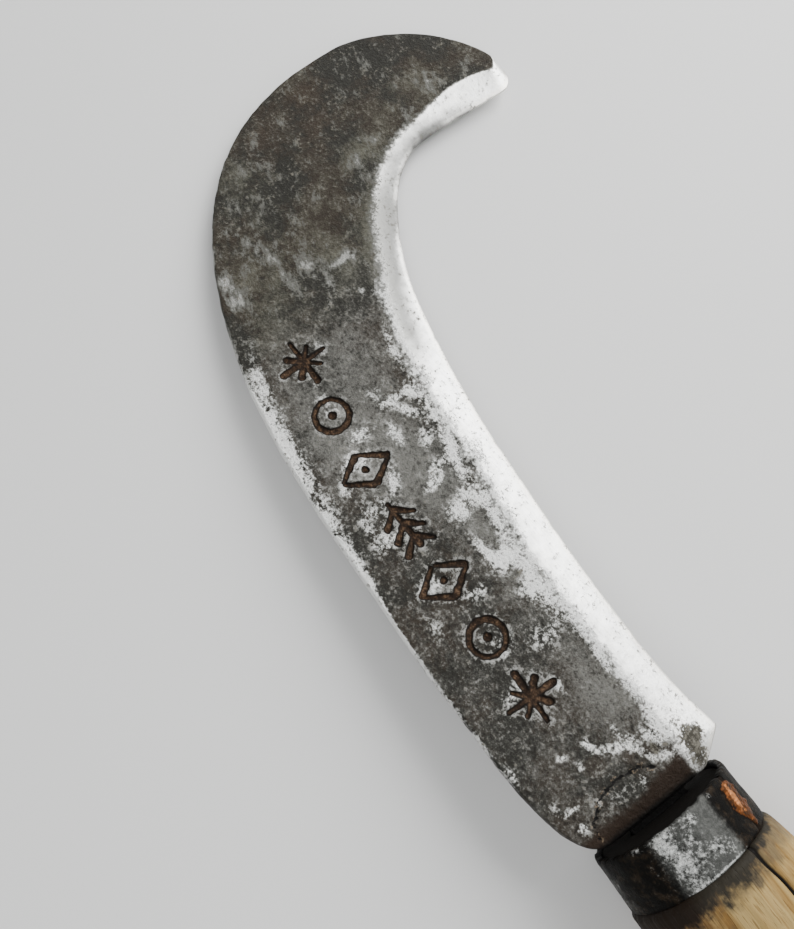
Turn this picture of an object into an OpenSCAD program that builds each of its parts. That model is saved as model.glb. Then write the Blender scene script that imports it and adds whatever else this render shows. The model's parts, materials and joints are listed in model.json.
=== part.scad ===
/* [Blade] */
// Length from the ferrule's front face to the nose of the hook
blade_reach = 218.1; // [195:0.1:245]
// Height of the straight back above the handle's axis
back_rise = 24.3; // [20:0.1:28]
// Depth of the straight cutting edge below the handle's axis
edge_drop = 21.3; // [18:0.1:25]
// Distance along the axis at which the back starts to curve
crown_start = 78.6; // [60:0.2:95]
// Fullness of the curve from the back to the nose (2 is an ellipse)
crown_power = 2.5; // [2.1:0.05:3]
// Depth of the nose below the handle's axis
nose_drop = 59; // [52:0.5:66]
// Fullness of the curve from the nose to the beak's tip
beak_power = 1.75; // [1.5:0.05:2.1]
// Distance along the axis at which the cutting edge starts to curve
throat_start = 38.6; // [25:0.2:55]
// Fullness of the curve from the edge into the throat
throat_power = 2.2; // [1.9:0.05:2.6]
// Depth below the axis at which the throat runs into the beak
throat_drop = 66.5; // [60:0.5:74]
// Width of the beak at the nose
beak_w = 40.2; // [34:0.2:48]
// Depth of the beak's tip below the handle's axis
tip_drop = 97.5; // [88:0.5:108]
// Radius of the beak's blunt tip
tip_r = 5; // [3.5:0.5:7]
// Thickness of the blade at the heel
blade_t = 6; // [4.5:0.1:7.5]
// Thickness of the blade at the nose
nose_t = 3.8; // [3:0.1:4.4]
// Width of the ground bevel on the upper cheek
bevel_w = 9; // [6:0.5:12]
// Width of the ground bevel on the flat cheek
back_bevel_w = 4; // [2:0.5:6]
// Thickness left at the cutting edge
edge_t = 0.6; // [0.3:0.1:1]
// Softening of the two corners along the back
back_soften = 0.8; // [0.4:0.1:1.2]

/* [Shoulder and tang] */
// Gap between the ferrule's front face and the blade's shoulder
shoulder_gap = 0.4; // [0.2:0.1:3]
// Length of the rounded corner at the back of the shoulder
back_corner_l = 30; // [20:1:34]
// Depth of the rounded corner at the back of the shoulder
back_corner_h = 11; // [6:0.5:12]
// Length of the heel corner, from the shoulder to its lowest point
heel_l = 5.6; // [4:0.2:8]
// Height of the heel corner
heel_h = 9; // [6:0.5:11]
// How far the heel hangs below the straight edge
heel_step = 2.5; // [1:0.1:3]
// Length over which that step runs out into the straight edge
heel_run = 24; // [8:1:28]
// Length of the slope that thins the blade at its shoulder
ramp_l = 9; // [6:0.5:12]
// How much the slope takes off the blade's thickness
ramp_h = 1.2; // [0.6:0.1:2]
// Width of the tang at the shoulder
tang_w = 16; // [12:0.5:20]
// Width of the tang at its riveted end
tang_end_w = 8; // [6:0.5:9]
// Step from each face of the blade's shoulder to the tang
tang_step = 0.3; // [0.2:0.05:0.6]
// Radius of the riveted tang head
rivet_r = 6; // [5:0.25:7]
// Height of the riveted tang head
rivet_h = 2.4; // [1.5:0.1:3]

/* [Chiselled ornament] */
// Height of each ornament across the blade
mark_w = 14; // [10:0.5:16]
// Width of a chisel stroke
stroke_w = 2.2; // [1.2:0.1:2.6]
// Depth of a chisel stroke
stroke_depth = 0.7; // [0.4:0.1:1]
// Distance along the axis of the first ornament
mark_start = 36.6; // [33:0.2:43]
// Spacing of the ornaments
mark_step = 17.2; // [16:0.2:18.6]
// Distance of the ornaments' middle from the back
mark_inset = 16; // [13:0.5:18]

/* [Ferrule] */
// Outer diameter of the ferrule
ferrule_d = 37; // [34:0.5:40]
// Length of the ferrule
ferrule_l = 13.6; // [10:0.2:18]
// Wall of the ferrule
ferrule_wall = 1.6; // [1:0.1:2]
// Width of the open seam in the ferrule, filled with brazing metal
seam_w = 1.4; // [0.8:0.1:2]
// Width of the brazing metal spread over the seam
braze_w = 5.6; // [4:0.2:7]
// Height that the brazing metal stands proud
braze_proud = 0.4; // [0.2:0.05:0.6]
// Turn of the seam from the top of the ferrule towards the cutting edge
seam_turn = 45; // [35:1:75]

/* [Handle] */
// Length of the wood from the ferrule's front face to the butt
handle_l = 140; // [120:1:160]
// Distance that the wood stops short of the ferrule's front face
wood_recess = 0.8; // [0.4:0.1:1.5]
// Half width of the wood just behind the ferrule
neck_w = 19.2; // [18.7:0.1:21]
// Distance from the ferrule's front face to the belly
belly_x = 52; // [44:1:58]
// Half width of the belly
belly_w = 22; // [20:0.5:24]
// Half thickness of the belly
belly_t = 18.6; // [17:0.2:20]
// How far the belly hangs towards the cutting edge
belly_sag = 3; // [1:0.5:5]
// Distance from the ferrule's front face to the waist
waist_x = 98; // [88:1:104]
// Half width of the waist
waist_w = 17.5; // [16:0.5:19]
// Half thickness of the waist
waist_t = 15.5; // [14:0.5:17]
// How far the waist hangs towards the cutting edge
waist_sag = 1; // [0:0.5:2]
// Distance back from the butt to the swell that stops the hand
pommel_back = 13; // [11:0.5:16]
// Half width of the pommel
pommel_w = 21.5; // [20:0.5:24]
// Half thickness of the pommel
pommel_t = 17; // [16:0.5:18]
// How far the pommel hangs towards the cutting edge
pommel_sag = 5; // [3:0.5:7]
// Share of the pommel's size that is left at the butt's flat end
butt_share = 0.66; // [0.6:0.02:0.75]
// Diameter of the washer under the tang head
washer_d = 20; // [17:0.5:22]
// Thickness of the washer
washer_t = 1.8; // [1.2:0.1:2.5]
// Clearance of the tang in the wood and in the washer
tang_clear = 0.2; // [0.1:0.05:0.4]
// Clearance between the ferrule and its seat on the wood
seat_clear = 0.05; // [0.02:0.01:0.1]

/* [Hidden] */

$fn = 64;
step = 8;                     // spacing of the blade's sections along its straight part
fan = 28;                     // sections fanned round the hook
path_n = 48;                  // points on each curve of the outline
rim_n = 24;                   // points round a section of the handle
over = 1;                     // overlap that makes cuts and joins clean

flat_z = -blade_t / 2;        // the flat lower cheek
fan_x = 133.6;                // where the sections start to fan round the hook
corner_power = 2.5;           // fullness of the rounded corner at the shoulder
beak_x = blade_reach - beak_w;
tip_x = beak_x + tip_r;
heel_x = shoulder_gap + heel_l;
seat_r = ferrule_d / 2 - ferrule_wall - seat_clear;
pommel_x = handle_l - pommel_back;
tang_l = handle_l + washer_t;

// A handle section is [distance behind the ferrule's face, sag, half width, half thickness]
sections = [
    [ferrule_l, 0, neck_w, neck_w],
    [belly_x, belly_sag, belly_w, belly_t],
    [waist_x, waist_sag, waist_w, waist_t],
    [pommel_x, pommel_sag, pommel_w, pommel_t]
];

// The tool lies on the nose of its blade and on the ferrule's rim or a fuller part of the wood
rests = concat([[0, ferrule_d / 2]], [for (s = sections) [s[0], s[3]]]);
pitch = max([for (r = rests) atan2(r[1] + flat_z, blade_reach - back_soften + r[0])]);
lift = (blade_reach - back_soften) * sin(pitch) - flat_z * cos(pitch);
mid_x = (blade_reach - tang_l - rivet_h) * cos(pitch) / 2;
mid_y = (back_rise - tip_drop) / 2;

module lay_down() {
    translate([-mid_x, -mid_y, lift]) rotate([0, pitch, 0]) children();
}

// Quarter of a superellipse: share 0 is above the centre, share 1 is beside it
function quarter(centre, a, b, power, share) =
    centre + [a * pow(sin(90 * share), 2 / power), b * pow(cos(90 * share), 2 / power)];

// Height of that quarter at a given distance along the axis
function quarter_y(x, start, end, top, bottom, power) =
    x <= start ? top
    : bottom + (top - bottom) * pow(1 - pow((x - start) / (end - start), power), 1 / power);

// The back: straight, rounded off at the shoulder, curved down towards the nose
function corner_dip(x) =
    let (s = max(0, 1 - (x - shoulder_gap) / back_corner_l))
    back_corner_h * (1 - sqrt(1 - pow(s, corner_power)));
function back_y(x) =
    quarter_y(x, crown_start, blade_reach, back_rise, -nose_drop, crown_power) - corner_dip(x);

// The edge: a chamfered heel that hangs a little low, then straight, then curved down
function heel_dip(x) =
    x < heel_x ? heel_step - heel_h * (heel_x - x) / heel_l
    : heel_step * pow(max(0, 1 - (x - heel_x) / heel_run), 2);
function edge_y(x) =
    quarter_y(x, throat_start, beak_x, -edge_drop, -throat_drop, throat_power) - heel_dip(x);

// The rest of the back and of the edge, both from the fan's start to the bottom of the tip
nose_arc = [for (i = [0:path_n])
    quarter([crown_start, -nose_drop], blade_reach - crown_start, back_rise + nose_drop,
            crown_power, i / path_n)];
beak_arc = [for (i = [1:path_n])
    quarter([tip_x, -nose_drop], blade_reach - tip_x, nose_drop - tip_drop,
            beak_power, 1 - i / path_n)];
throat_arc = [for (i = [0:path_n])
    quarter([throat_start, -throat_drop], beak_x - throat_start, throat_drop - edge_drop,
            throat_power, i / path_n)];
tip_arc = [for (i = [0:path_n / 4])
    let (a = 180 + 360 * i / path_n) [tip_x, tip_r - tip_drop] + tip_r * [cos(a), sin(a)]];
back_path = concat([[fan_x, back_y(fan_x)]], [for (p = nose_arc) if (p[0] > fan_x) p], beak_arc);
edge_path = concat([[fan_x, edge_y(fan_x)]], [for (p = throat_arc) if (p[0] > fan_x) p], tip_arc);

// Running length of a path, and the point at a share of it
function lengths(path) =
    [for (i = 0, d = 0; i < len(path);
          i = i + 1, d = d + (i < len(path) ? norm(path[i] - path[i - 1]) : 0)) d];
function along(path, run, share) =
    let (d = share * run[len(run) - 1],
         i = min(len(path) - 2, max([for (k = [0:len(run) - 1]) if (run[k] <= d) k])),
         t = (d - run[i]) / (run[i + 1] - run[i]))
    path[i] + t * (path[i + 1] - path[i]);

back_run = lengths(back_path);
edge_run = lengths(edge_path);
last_share = 1 - 0.2 / fan;   // the last section stays a little open, so the tip has an end face

shoulder_xs = [for (i = [0:5]) shoulder_gap + heel_l * i / 5];
straight_n = ceil((fan_x - heel_x) / step);
straight_xs = [for (i = [1:straight_n - 1]) heel_x + (fan_x - heel_x) * i / straight_n];
rows = concat(
    [for (x = concat(shoulder_xs, straight_xs)) [[x, back_y(x)], [x, edge_y(x)]]],
    [for (i = [0:fan]) let (share = last_share * i / fan)
        [along(back_path, back_run, share), along(edge_path, edge_run, share)]]
);

// Upper cheek: one plane that thins towards the nose, sloped down at the shoulder
function cheek_z(x) =
    flat_z + blade_t + (nose_t - blade_t) * x / blade_reach
    - ramp_h * pow(max(0, 1 - (x - shoulder_gap) / ramp_l), 2);

// One section of the blade, eight points round, starting under the back
function ring(row) =
    let (back = row[0], edge = row[1],
         width = norm(back - edge),
         dir = (back - edge) / width,
         bevel = min(bevel_w, 0.45 * width),
         under = min(back_bevel_w, 0.4 * width),
         soft = min(back_soften, 0.1 * width),
         dull = max(0, 1 - (edge[0] - shoulder_gap) / heel_l),
         half_edge = edge_t / 2 + dull * nose_t / 4,
         edge_z = flat_z + 0.35 * (cheek_z(edge[0]) - flat_z),
         low_in = edge + dir * under, top_in = edge + dir * bevel, back_in = back - dir * soft)
    [
        [back_in[0], back_in[1], flat_z],
        [back[0], back[1], flat_z + soft],
        [back[0], back[1], cheek_z(back[0]) - soft],
        [back_in[0], back_in[1], cheek_z(back_in[0])],
        [top_in[0], top_in[1], cheek_z(top_in[0])],
        [edge[0], edge[1], edge_z + half_edge],
        [edge[0], edge[1], edge_z - half_edge],
        [low_in[0], low_in[1], flat_z]
    ];

// Skin over rings of equal size, closed at both ends
module skin(rings) {
    n = len(rings[0]);
    m = len(rings);
    polyhedron(
        points = [for (r = rings) each r],
        faces = concat(
            [[for (j = [0:n - 1]) j]],
            [for (i = [0:m - 2], j = [0:n - 1])
                [i * n + j, (i + 1) * n + j, (i + 1) * n + (j + 1) % n, i * n + (j + 1) % n]],
            [[for (j = [n - 1:-1:0]) (m - 1) * n + j]]
        )
    );
}

// Tapered tang from inside the blade back to a given length, with a clearance all round
module tang(length, clear) {
    low = flat_z + tang_step - clear;
    thick = cheek_z(shoulder_gap) - tang_step - low + clear;
    hull() {
        translate([shoulder_gap + ramp_l / 2, -tang_w / 2 - clear, low])
            cube([over, tang_w + 2 * clear, thick]);
        translate([-length, -tang_end_w / 2 - clear, low])
            cube([over, tang_end_w + 2 * clear, thick]);
    }
}

// Head that is hammered over on the washer
module rivet_head() {
    translate([-tang_l, 0, 0]) rotate([0, -90, 0])
        cylinder(r1 = rivet_r, r2 = 0.6 * rivet_r, h = rivet_h);
}

// One straight chisel stroke across the middle of an ornament
module stroke(length, turn) {
    rotate([0, 0, turn]) translate([-length / 2, -stroke_w / 2, 0]) cube([length, stroke_w, blade_t]);
}

// Round punch mark: a ring, or a dot when it has no core
module punch(radius, core) {
    difference() {
        cylinder(r = radius, h = blade_t);
        if (core > 0) translate([0, 0, -over]) cylinder(r = core, h = blade_t + 2 * over);
    }
}

// Star of four crossed strokes
module star() {
    for (turn = [0:45:135]) stroke(turn % 90 == 0 ? mark_w : 0.72 * mark_w, turn);
}

// Sun: a ring with a dot in it
module sun() {
    punch(mark_w * 0.4, mark_w * 0.4 - stroke_w);
    punch(stroke_w * 0.7, 0);
}

// Lozenge of four strokes round a dot
module lozenge() {
    for (sx = [-1, 1], sy = [-1, 1])
        translate([sx * mark_w * 0.17, sy * mark_w * 0.25, 0]) stroke(mark_w * 0.6, -sx * sy * 56);
    punch(stroke_w * 0.6, 0);
}

// Sprig: a stem along the blade with three pairs of barbs
module sprig() {
    stroke(mark_w, 0);
    for (i = [-1:1], side = [-1, 1])
        translate([i * mark_w * 0.3 - mark_w * 0.1, side * mark_w * 0.16, 0])
            stroke(mark_w * 0.42, -side * 50);
}

// The row of ornaments, which follows the back
module ornaments() {
    for (i = [0:6]) {
        x = mark_start + i * mark_step;
        translate([x, back_y(x) - mark_inset, cheek_z(x) - stroke_depth]) {
            if (i == 0 || i == 6) star();
            if (i == 1 || i == 5) sun();
            if (i == 2 || i == 4) lozenge();
            if (i == 3) sprig();
        }
    }
}

module blade() {
    color("dimgray") lay_down() difference() {
        union() {
            skin([for (row = rows) ring(row)]);
            tang(tang_l + rivet_h / 4, 0);
            rivet_head();
        }
        ornaments();
    }
}

// Turns a child about the handle's axis so that its top meets the seam
module at_seam() {
    rotate([seam_turn, 0, 0]) children();
}

// Tube along the handle's axis, behind the ferrule's front face
module ring_tube(outer, inner, length) {
    rotate([0, -90, 0]) difference() {
        cylinder(r = outer, h = length, $fn = 96);
        translate([0, 0, -over]) cylinder(r = inner, h = length + 2 * over, $fn = 96);
    }
}

module ferrule() {
    color("slategray") lay_down() difference() {
        ring_tube(ferrule_d / 2, ferrule_d / 2 - ferrule_wall, ferrule_l);
        at_seam() translate([-ferrule_l - over, -seam_w / 2, 0])
            cube([ferrule_l + 2 * over, seam_w, ferrule_d]);
    }
}

// Brazing metal: it fills the seam and lies over it as a thin patch
module ferrule_braze() {
    color("peru") lay_down() {
        intersection() {
            ring_tube(ferrule_d / 2 + braze_proud, ferrule_d / 2, ferrule_l);
            at_seam() translate([-ferrule_l, -braze_w / 2, 0]) cube([ferrule_l, braze_w, ferrule_d]);
        }
        intersection() {
            ring_tube(ferrule_d / 2 + braze_proud, ferrule_d / 2 - ferrule_wall, ferrule_l);
            at_seam() translate([-ferrule_l, -seam_w / 2, 0]) cube([ferrule_l, seam_w, ferrule_d]);
        }
    }
}

// Share of the way from one handle section to the next: level at both ends,
// but the first starts at a slope, because the wood swells straight out of the ferrule
function eased(i, share) = i == 0 ? sin(90 * share) : (1 - cos(180 * share)) / 2;
function oval(s) = [for (k = [0:rim_n - 1])
    let (a = 360 * k / rim_n) [-s[0], s[2] * cos(a) - s[1], -s[3] * sin(a)]];

blend_n = 6;                  // sections between two named ones
butt_n = 4;                   // sections round the butt
grip = [for (i = [0:len(sections) - 2], k = [0:blend_n - 1])
    let (a = sections[i], b = sections[i + 1], share = k / blend_n,
         m = a + (b - a) * eased(i, share))
    [a[0] + (b[0] - a[0]) * share, m[1], m[2], m[3]]];
butt = [for (k = [0:butt_n])
    let (a = 90 * k / butt_n, size = butt_share + (1 - butt_share) * cos(a))
    [pommel_x + pommel_back * sin(a), pommel_sag * size, pommel_w * size, pommel_t * size]];

module handle() {
    color("burlywood") lay_down() difference() {
        union() {
            skin([for (s = concat(grip, butt)) oval(s)]);
            translate([-wood_recess, 0, 0]) rotate([0, -90, 0])
                cylinder(r = seat_r, h = ferrule_l - wood_recess + over, $fn = 96);
        }
        tang(handle_l + 2 * over, tang_clear);
    }
}

module tang_washer() {
    color("slategray") lay_down() difference() {
        translate([-handle_l, 0, 0]) rotate([0, -90, 0]) cylinder(d = washer_d, h = washer_t);
        tang(tang_l + over, tang_clear);
    }
}

blade();
ferrule();
ferrule_braze();
handle();
tang_washer();
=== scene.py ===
import json
import math

import bpy
import numpy as np
from mathutils import Matrix, Vector


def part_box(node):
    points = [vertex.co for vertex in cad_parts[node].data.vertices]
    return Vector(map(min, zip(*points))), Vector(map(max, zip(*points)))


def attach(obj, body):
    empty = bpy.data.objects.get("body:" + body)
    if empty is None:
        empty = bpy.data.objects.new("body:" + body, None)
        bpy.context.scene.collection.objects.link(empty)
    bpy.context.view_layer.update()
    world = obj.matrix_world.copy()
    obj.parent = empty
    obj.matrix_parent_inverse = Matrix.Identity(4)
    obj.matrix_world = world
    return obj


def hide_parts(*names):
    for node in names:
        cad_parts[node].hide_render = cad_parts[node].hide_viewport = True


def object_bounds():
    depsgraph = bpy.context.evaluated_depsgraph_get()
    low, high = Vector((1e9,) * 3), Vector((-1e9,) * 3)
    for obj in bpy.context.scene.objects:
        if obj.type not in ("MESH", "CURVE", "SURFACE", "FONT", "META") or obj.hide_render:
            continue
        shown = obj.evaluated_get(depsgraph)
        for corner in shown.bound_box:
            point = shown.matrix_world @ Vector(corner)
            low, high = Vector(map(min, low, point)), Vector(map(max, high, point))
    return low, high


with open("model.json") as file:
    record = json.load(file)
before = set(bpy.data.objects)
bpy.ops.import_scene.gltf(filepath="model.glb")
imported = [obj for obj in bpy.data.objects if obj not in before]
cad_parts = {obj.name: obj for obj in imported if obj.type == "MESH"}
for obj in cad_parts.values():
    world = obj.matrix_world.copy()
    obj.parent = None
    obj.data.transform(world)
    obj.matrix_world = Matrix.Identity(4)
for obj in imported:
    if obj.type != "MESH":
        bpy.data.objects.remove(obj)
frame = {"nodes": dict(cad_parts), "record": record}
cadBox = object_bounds()
print("frame loaded:", ", ".join(sorted(frame["nodes"])))

# Shapes are worked out in millimetres along the tool's own axes: x runs from the ferrule's front face
# to the nose of the hook, y from the cutting edge to the back, and z up from the flat cheek.
millimetre = 0.001
ferruleForm = {
    "radius": 18.5, "length": 13.6, "wall": 1.6,
    "seamTurn": 45,            # degrees from the top towards the cutting edge
    "seamWidth": 1.4,
    "slant": 0.02,             # the strip wasn't cut quite square
    "rimWear": 0.12,           # how ragged the two rims are
    "rimRound": 0.35,          # how far they are rounded over
    "dent": 0.12,              # depth of the hammered flats
    "underFlat": 0.12,         # depth of the flat on the under side
    # Bare patches: turn in degrees, distance from the front rim, half turn, half length, lean, amount
    "worn": [
        (-39, 0.5, 7, 0.6, 0, 0.5), (-19, 0.8, 9, 1.2, 0, 0.35), (-21, 3, 5, 3, 0, 0.4),
        (-17, 7, 6, 2.4, 0, 0.35), (-18, 6.5, 9, 9, 0, 0.5), (-4, 6.5, 8, 9, 0, 0.3),
        (4, 1.6, 5, 1, 0, 0.4), (9, 8.8, 9, 1.6, 0, 0.35), (13, 11, 6, 1.4, 0, 0.3),
        (8, 13.2, 13, 0.35, 0, 1.1), (-16, 13.1, 12, 0.4, 0, 0.7), (24, 1.1, 1.6, 0.8, 0, 0.5),
        (-38, 7, 6, 6, 0, 0.1), (150, 4, 30, 5, 0, 0.45), (-110, 8, 30, 4, 0, 0.45),
    ],
    # Patches of grey steel away from the top, in the same way
    "grey": [(165, 6, 40, 6, 0, 0.7), (-95, 7, 24, 6, 0, 0.6), (95, 6, 18, 6, 0, 0.5)],
}
flatMount = next(m for m in frame["record"]["mounts"] if m["name"] == "blade_flat")
toolUp = -Vector(flatMount["axis"]).normalized()
toolAcross = Vector((0, 1, 0))
toolAlong = toolAcross.cross(toolUp)
ferruleLow, ferruleHigh = (Vector(corner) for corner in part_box("ferrule"))
toolOrigin = (ferruleLow + ferruleHigh) / 2 + toolAlong * (ferruleForm["length"] / 2 * millimetre)


# Turns points along the tool's axes into the frame: origin + x along + y across + z up
def layDown(points):
    axes = np.array([toolAlong, toolAcross, toolUp])
    return np.asarray(points) * millimetre @ axes + np.array(toolOrigin)


# Smooth random swell: a sum of plane waves about as long as given, each with its own direction and phase
def swell(points, length, seed, waves=22):
    draw = np.random.default_rng(seed)
    total = np.zeros(points.shape[:-1])
    for _ in range(waves):
        direction = draw.normal(size=points.shape[-1])
        direction *= draw.uniform(0.6, 1.5) * 2 * np.pi / length / np.linalg.norm(direction)
        total += np.sin(points @ direction + draw.uniform(0, 2 * np.pi))
    return total / math.sqrt(waves / 2)


# Rises smoothly from 0 at low to 1 at high: 3t^2 - 2t^3
def ease(value, low, high):
    share = np.clip((value - low) / (high - low), 0, 1)
    return share * share * (3 - 2 * share)


# Bell curve: e^-(value / width)^2, which is 1 at 0
def hump(value, width):
    return np.exp(-((value / width) ** 2))


# Soft bump that is 1 in the middle of a turned ellipse and fades outwards as a bell curve
def bell(points, x, y, along, across, turn=0):
    cosine, sine = math.cos(math.radians(turn)), math.sin(math.radians(turn))
    dx, dy = points[..., 0] - x, points[..., 1] - y
    u, v = dx * cosine + dy * sine, dy * cosine - dx * sine
    return np.exp(-((u / along) ** 2) - (v / across) ** 2)


# 0 below 0 and the value itself above, with a soft bend: blend ln(1 + e^(value / blend))
def softRamp(value, blend):
    return blend * np.logaddexp(0, value / blend)


# How far a quarter-round corner lies below its face, at a distance from the corner: r - sqrt(r^2 - gap^2)
def cornerDrop(away, radius):
    gap = np.clip(radius - away, 0, radius)
    return radius - np.sqrt(radius ** 2 - gap ** 2)


# Numbers that run through the marks, evenly between two of them, with a count for each stretch
def spread(marks, counts):
    runs = [np.linspace(a, b, count)[1:] for a, b, count in zip(marks[:-1], marks[1:], counts)]
    return np.concatenate([marks[:1], *runs])


# Points from their coordinates, which may be whole grids, columns, rows or single numbers
def pointGrid(*coordinates):
    return np.stack(np.broadcast_arrays(*coordinates), -1)


# Mesh over a grid of rows, each a closed loop of points. Row ends are closed by a fan round their middle,
# or the last row joins the first when the grid is a ring.
def loftMesh(name, grid, fields, ring=False):
    rows, around = grid.shape[:2]
    points = grid.reshape(-1, 3)
    index = np.arange(rows * around).reshape(rows, around)
    here = index if ring else index[:-1]
    there = np.roll(index, -1, axis=0) if ring else index[1:]
    quads = np.stack([here, there, np.roll(there, -1, axis=1), np.roll(here, -1, axis=1)], -1)
    faces = quads.reshape(-1, 4).tolist()
    middles = []
    if not ring:
        first, last = index[0], index[-1]
        middles = [grid[0].mean(axis=0), grid[-1].mean(axis=0)]
        a, b = rows * around, rows * around + 1
        faces += np.stack([first, np.roll(first, -1), np.full(around, a)], -1).tolist()
        faces += np.stack([np.roll(last, -1), last, np.full(around, b)], -1).tolist()
        points = np.concatenate([points, np.array(middles)])
    mesh = bpy.data.meshes.new(name)
    mesh.from_pydata(layDown(points).tolist(), [], faces)
    fields = dict(fields, place=grid)
    for field, values in fields.items():
        size = 3 if values.ndim == 3 else 1
        flat = values.reshape(-1, size)
        if middles:
            ends = [values[0].mean(axis=0).reshape(size), values[-1].mean(axis=0).reshape(size)]
            flat = np.concatenate([flat, np.array(ends)])
        kind = "FLOAT_VECTOR" if size == 3 else "FLOAT"
        made = mesh.attributes.new(field, kind, "POINT")
        made.data.foreach_set("vector" if size == 3 else "value", flat.astype(np.float32).ravel())
    mesh.polygons.foreach_set("use_smooth", np.ones(len(mesh.polygons), dtype=bool))
    mesh.update()
    piece = bpy.data.objects.new(name, mesh)
    bpy.context.scene.collection.objects.link(piece)
    print(f"{name}: {len(mesh.vertices)} points, {len(mesh.polygons)} faces")
    return piece


# Blade

bladeForm = {
    "reach": 218.1, "backRise": 24.3, "edgeDrop": 21.3,
    "crownStart": 78.6, "crownPower": 2.5, "noseDrop": 59, "beakPower": 1.75,
    "throatStart": 38.6, "throatPower": 2.2, "throatDrop": 66.5,
    "beakWidth": 40.2, "tipDrop": 97.5, "tipRadius": 5,
    "closeStart": 29,                          # from here the sections stand close, for the ornament
    "fanStart": 133.6,                         # and from here they fan round the hook
    "heelThick": 6, "noseThick": 3.8, "edgeThick": 0.6,
    "edgeMiddle": 0.35,                        # height of the edge between the two cheeks, as a share
    "shoulderGap": 0.4, "backCornerLength": 30, "backCornerHeight": 11, "cornerPower": 2.5,
    "heelLength": 5.6, "heelHeight": 9, "heelStep": 2.5, "heelRun": 24,
    "rollLength": 7.5, "rollDepth": 1.9,       # how the cheek rolls over at the shoulder
    "arrisLength": 0.7, "arrisDepth": 0.5,     # how the shoulder's own corner is taken off
    "backRound": 0.6, "underRound": 0.6,       # roundness of the back's two corners
    "backBulge": 0.22, "edgeBulge": 0.12,      # how far the back and the edge swell out
    # Uneven forging: distance along the back or the edge, half length, how far it stands out
    "backWaves": [(20, 9, -0.35), (64, 20, 0.6), (143, 12, 0.15), (268, 34, 0.35)],
    "edgeWaves": [(85, 27, 0.7), (150, 13, -0.6), (207, 14, -0.35)],
    "underBevel": 4, "underBlend": 0.4,        # width and softness of the bevel on the flat cheek
    "underWave": 0.05,                         # unevenness of the flat cheek
    # Width of the upper bevel at distances along the cutting edge from the heel
    "bevelAt": [0, 10, 16, 26, 36, 49, 67, 80, 94, 114, 128, 140, 151, 178, 188, 197, 203, 209, 216, 222, 227,
                231],
    "bevelWidth": [11, 11, 10, 8.8, 8.6, 8.8, 9.4, 8.4, 7.4, 8.8, 9.4, 8.8, 7.4, 6.4, 5.2, 4.8, 5.8, 8, 8.9,
                   8.3, 6.8, 4.6],
    "heelBevel": -12.6,                        # height of the bevel's inner line at the heel
    "bevelBlend": 0.5,                         # softness of the line between bevel and cheek
    "honeWidth": 1.4, "honeDrop": 0.12,        # steeper strip that the stone left along the edge
    "honeBlend": 0.25,                         # softness of its inner line
    # Where the ragged belt above the bevel gives way to a crisp line: a range along the edge and a share
    "crispAt": [(150, 180, 0.45), (192, 212, 0.55)],
    "hammered": 0.07,                          # height of the hammer's marks on the cheek
    # Nicks in the cutting edge: distance along it from the heel, half width, depth
    "nicks": [(36, 1.0, 0.16), (71, 0.9, 0.15), (97, 1.3, 0.2), (131, 0.8, 0.2), (163, 1.0, 0.15),
              (193, 1.2, 0.3), (209, 0.7, 0.3), (221, 0.9, 0.25)],
    "nickReach": 0.7,                          # how far a nick is felt in the bevel
    "pits": 260, "pitDepth": 0.16,             # rust pits eaten into the upper cheek
    "pitSize": (0.35, 1.0),                    # smallest and largest half width of a pit
    "tangHalf": 8, "tangEndHalf": 4, "tangStep": 0.3, "tangLength": 141.8,
    "headRadius": 6, "headHeight": 2.4, "headRim": 0.5,
}


# Quarter of a superellipse from above its centre (share 0) to beside it (share 1):
# x = centre + a sin(quarter turn * share)^(2/power), y = centre + b cos(same)^(2/power)
def quarterArc(centre, a, b, power, share):
    turn = share * np.pi / 2
    return np.stack([centre[0] + a * np.clip(np.sin(turn), 0, 1) ** (2 / power),
                     centre[1] + b * np.clip(np.cos(turn), 0, 1) ** (2 / power)], -1)


# Height of such a quarter at a distance x: level before its start, then
# bottom + (top - bottom) (1 - ((x - start) / (end - start))^power)^(1/power)
def quarterHeight(x, start, end, top, bottom, power):
    share = np.clip((x - start) / (end - start), 0, 1)
    return bottom + (top - bottom) * (1 - share ** power) ** (1 / power)


# The back is straight, drops in a rounded corner at the shoulder and follows the crown's quarter
def backHeight(x):
    f = bladeForm
    corner = np.clip(1 - (x - f["shoulderGap"]) / f["backCornerLength"], 0, 1)
    dip = f["backCornerHeight"] * (1 - np.sqrt(1 - corner ** f["cornerPower"]))
    return quarterHeight(x, f["crownStart"], f["reach"], f["backRise"], -f["noseDrop"], f["crownPower"]) - dip


# The edge rises in a chamfer at the heel, hangs a little low after it and follows the throat's quarter
def edgeHeight(x):
    f = bladeForm
    heelEnd = f["shoulderGap"] + f["heelLength"]
    chamfer = f["heelStep"] - f["heelHeight"] * (heelEnd - x) / f["heelLength"]
    hang = f["heelStep"] * np.clip(1 - (x - heelEnd) / f["heelRun"], 0, 1) ** 2
    beakX = f["reach"] - f["beakWidth"]
    throat = quarterHeight(x, f["throatStart"], beakX, -f["edgeDrop"], -f["throatDrop"], f["throatPower"])
    return throat - np.where(x < heelEnd, chamfer, hang)


# Running length of a line of points, from 0
def runningLength(line):
    steps = np.linalg.norm(np.diff(line, axis=0), axis=1)
    return np.concatenate([[0], np.cumsum(steps)])


# Points at equal shares of a line's length
def atShares(line, shares):
    run = runningLength(line)
    return np.stack([np.interp(shares * run[-1], run, line[:, k]) for k in (0, 1)], -1)


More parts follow.
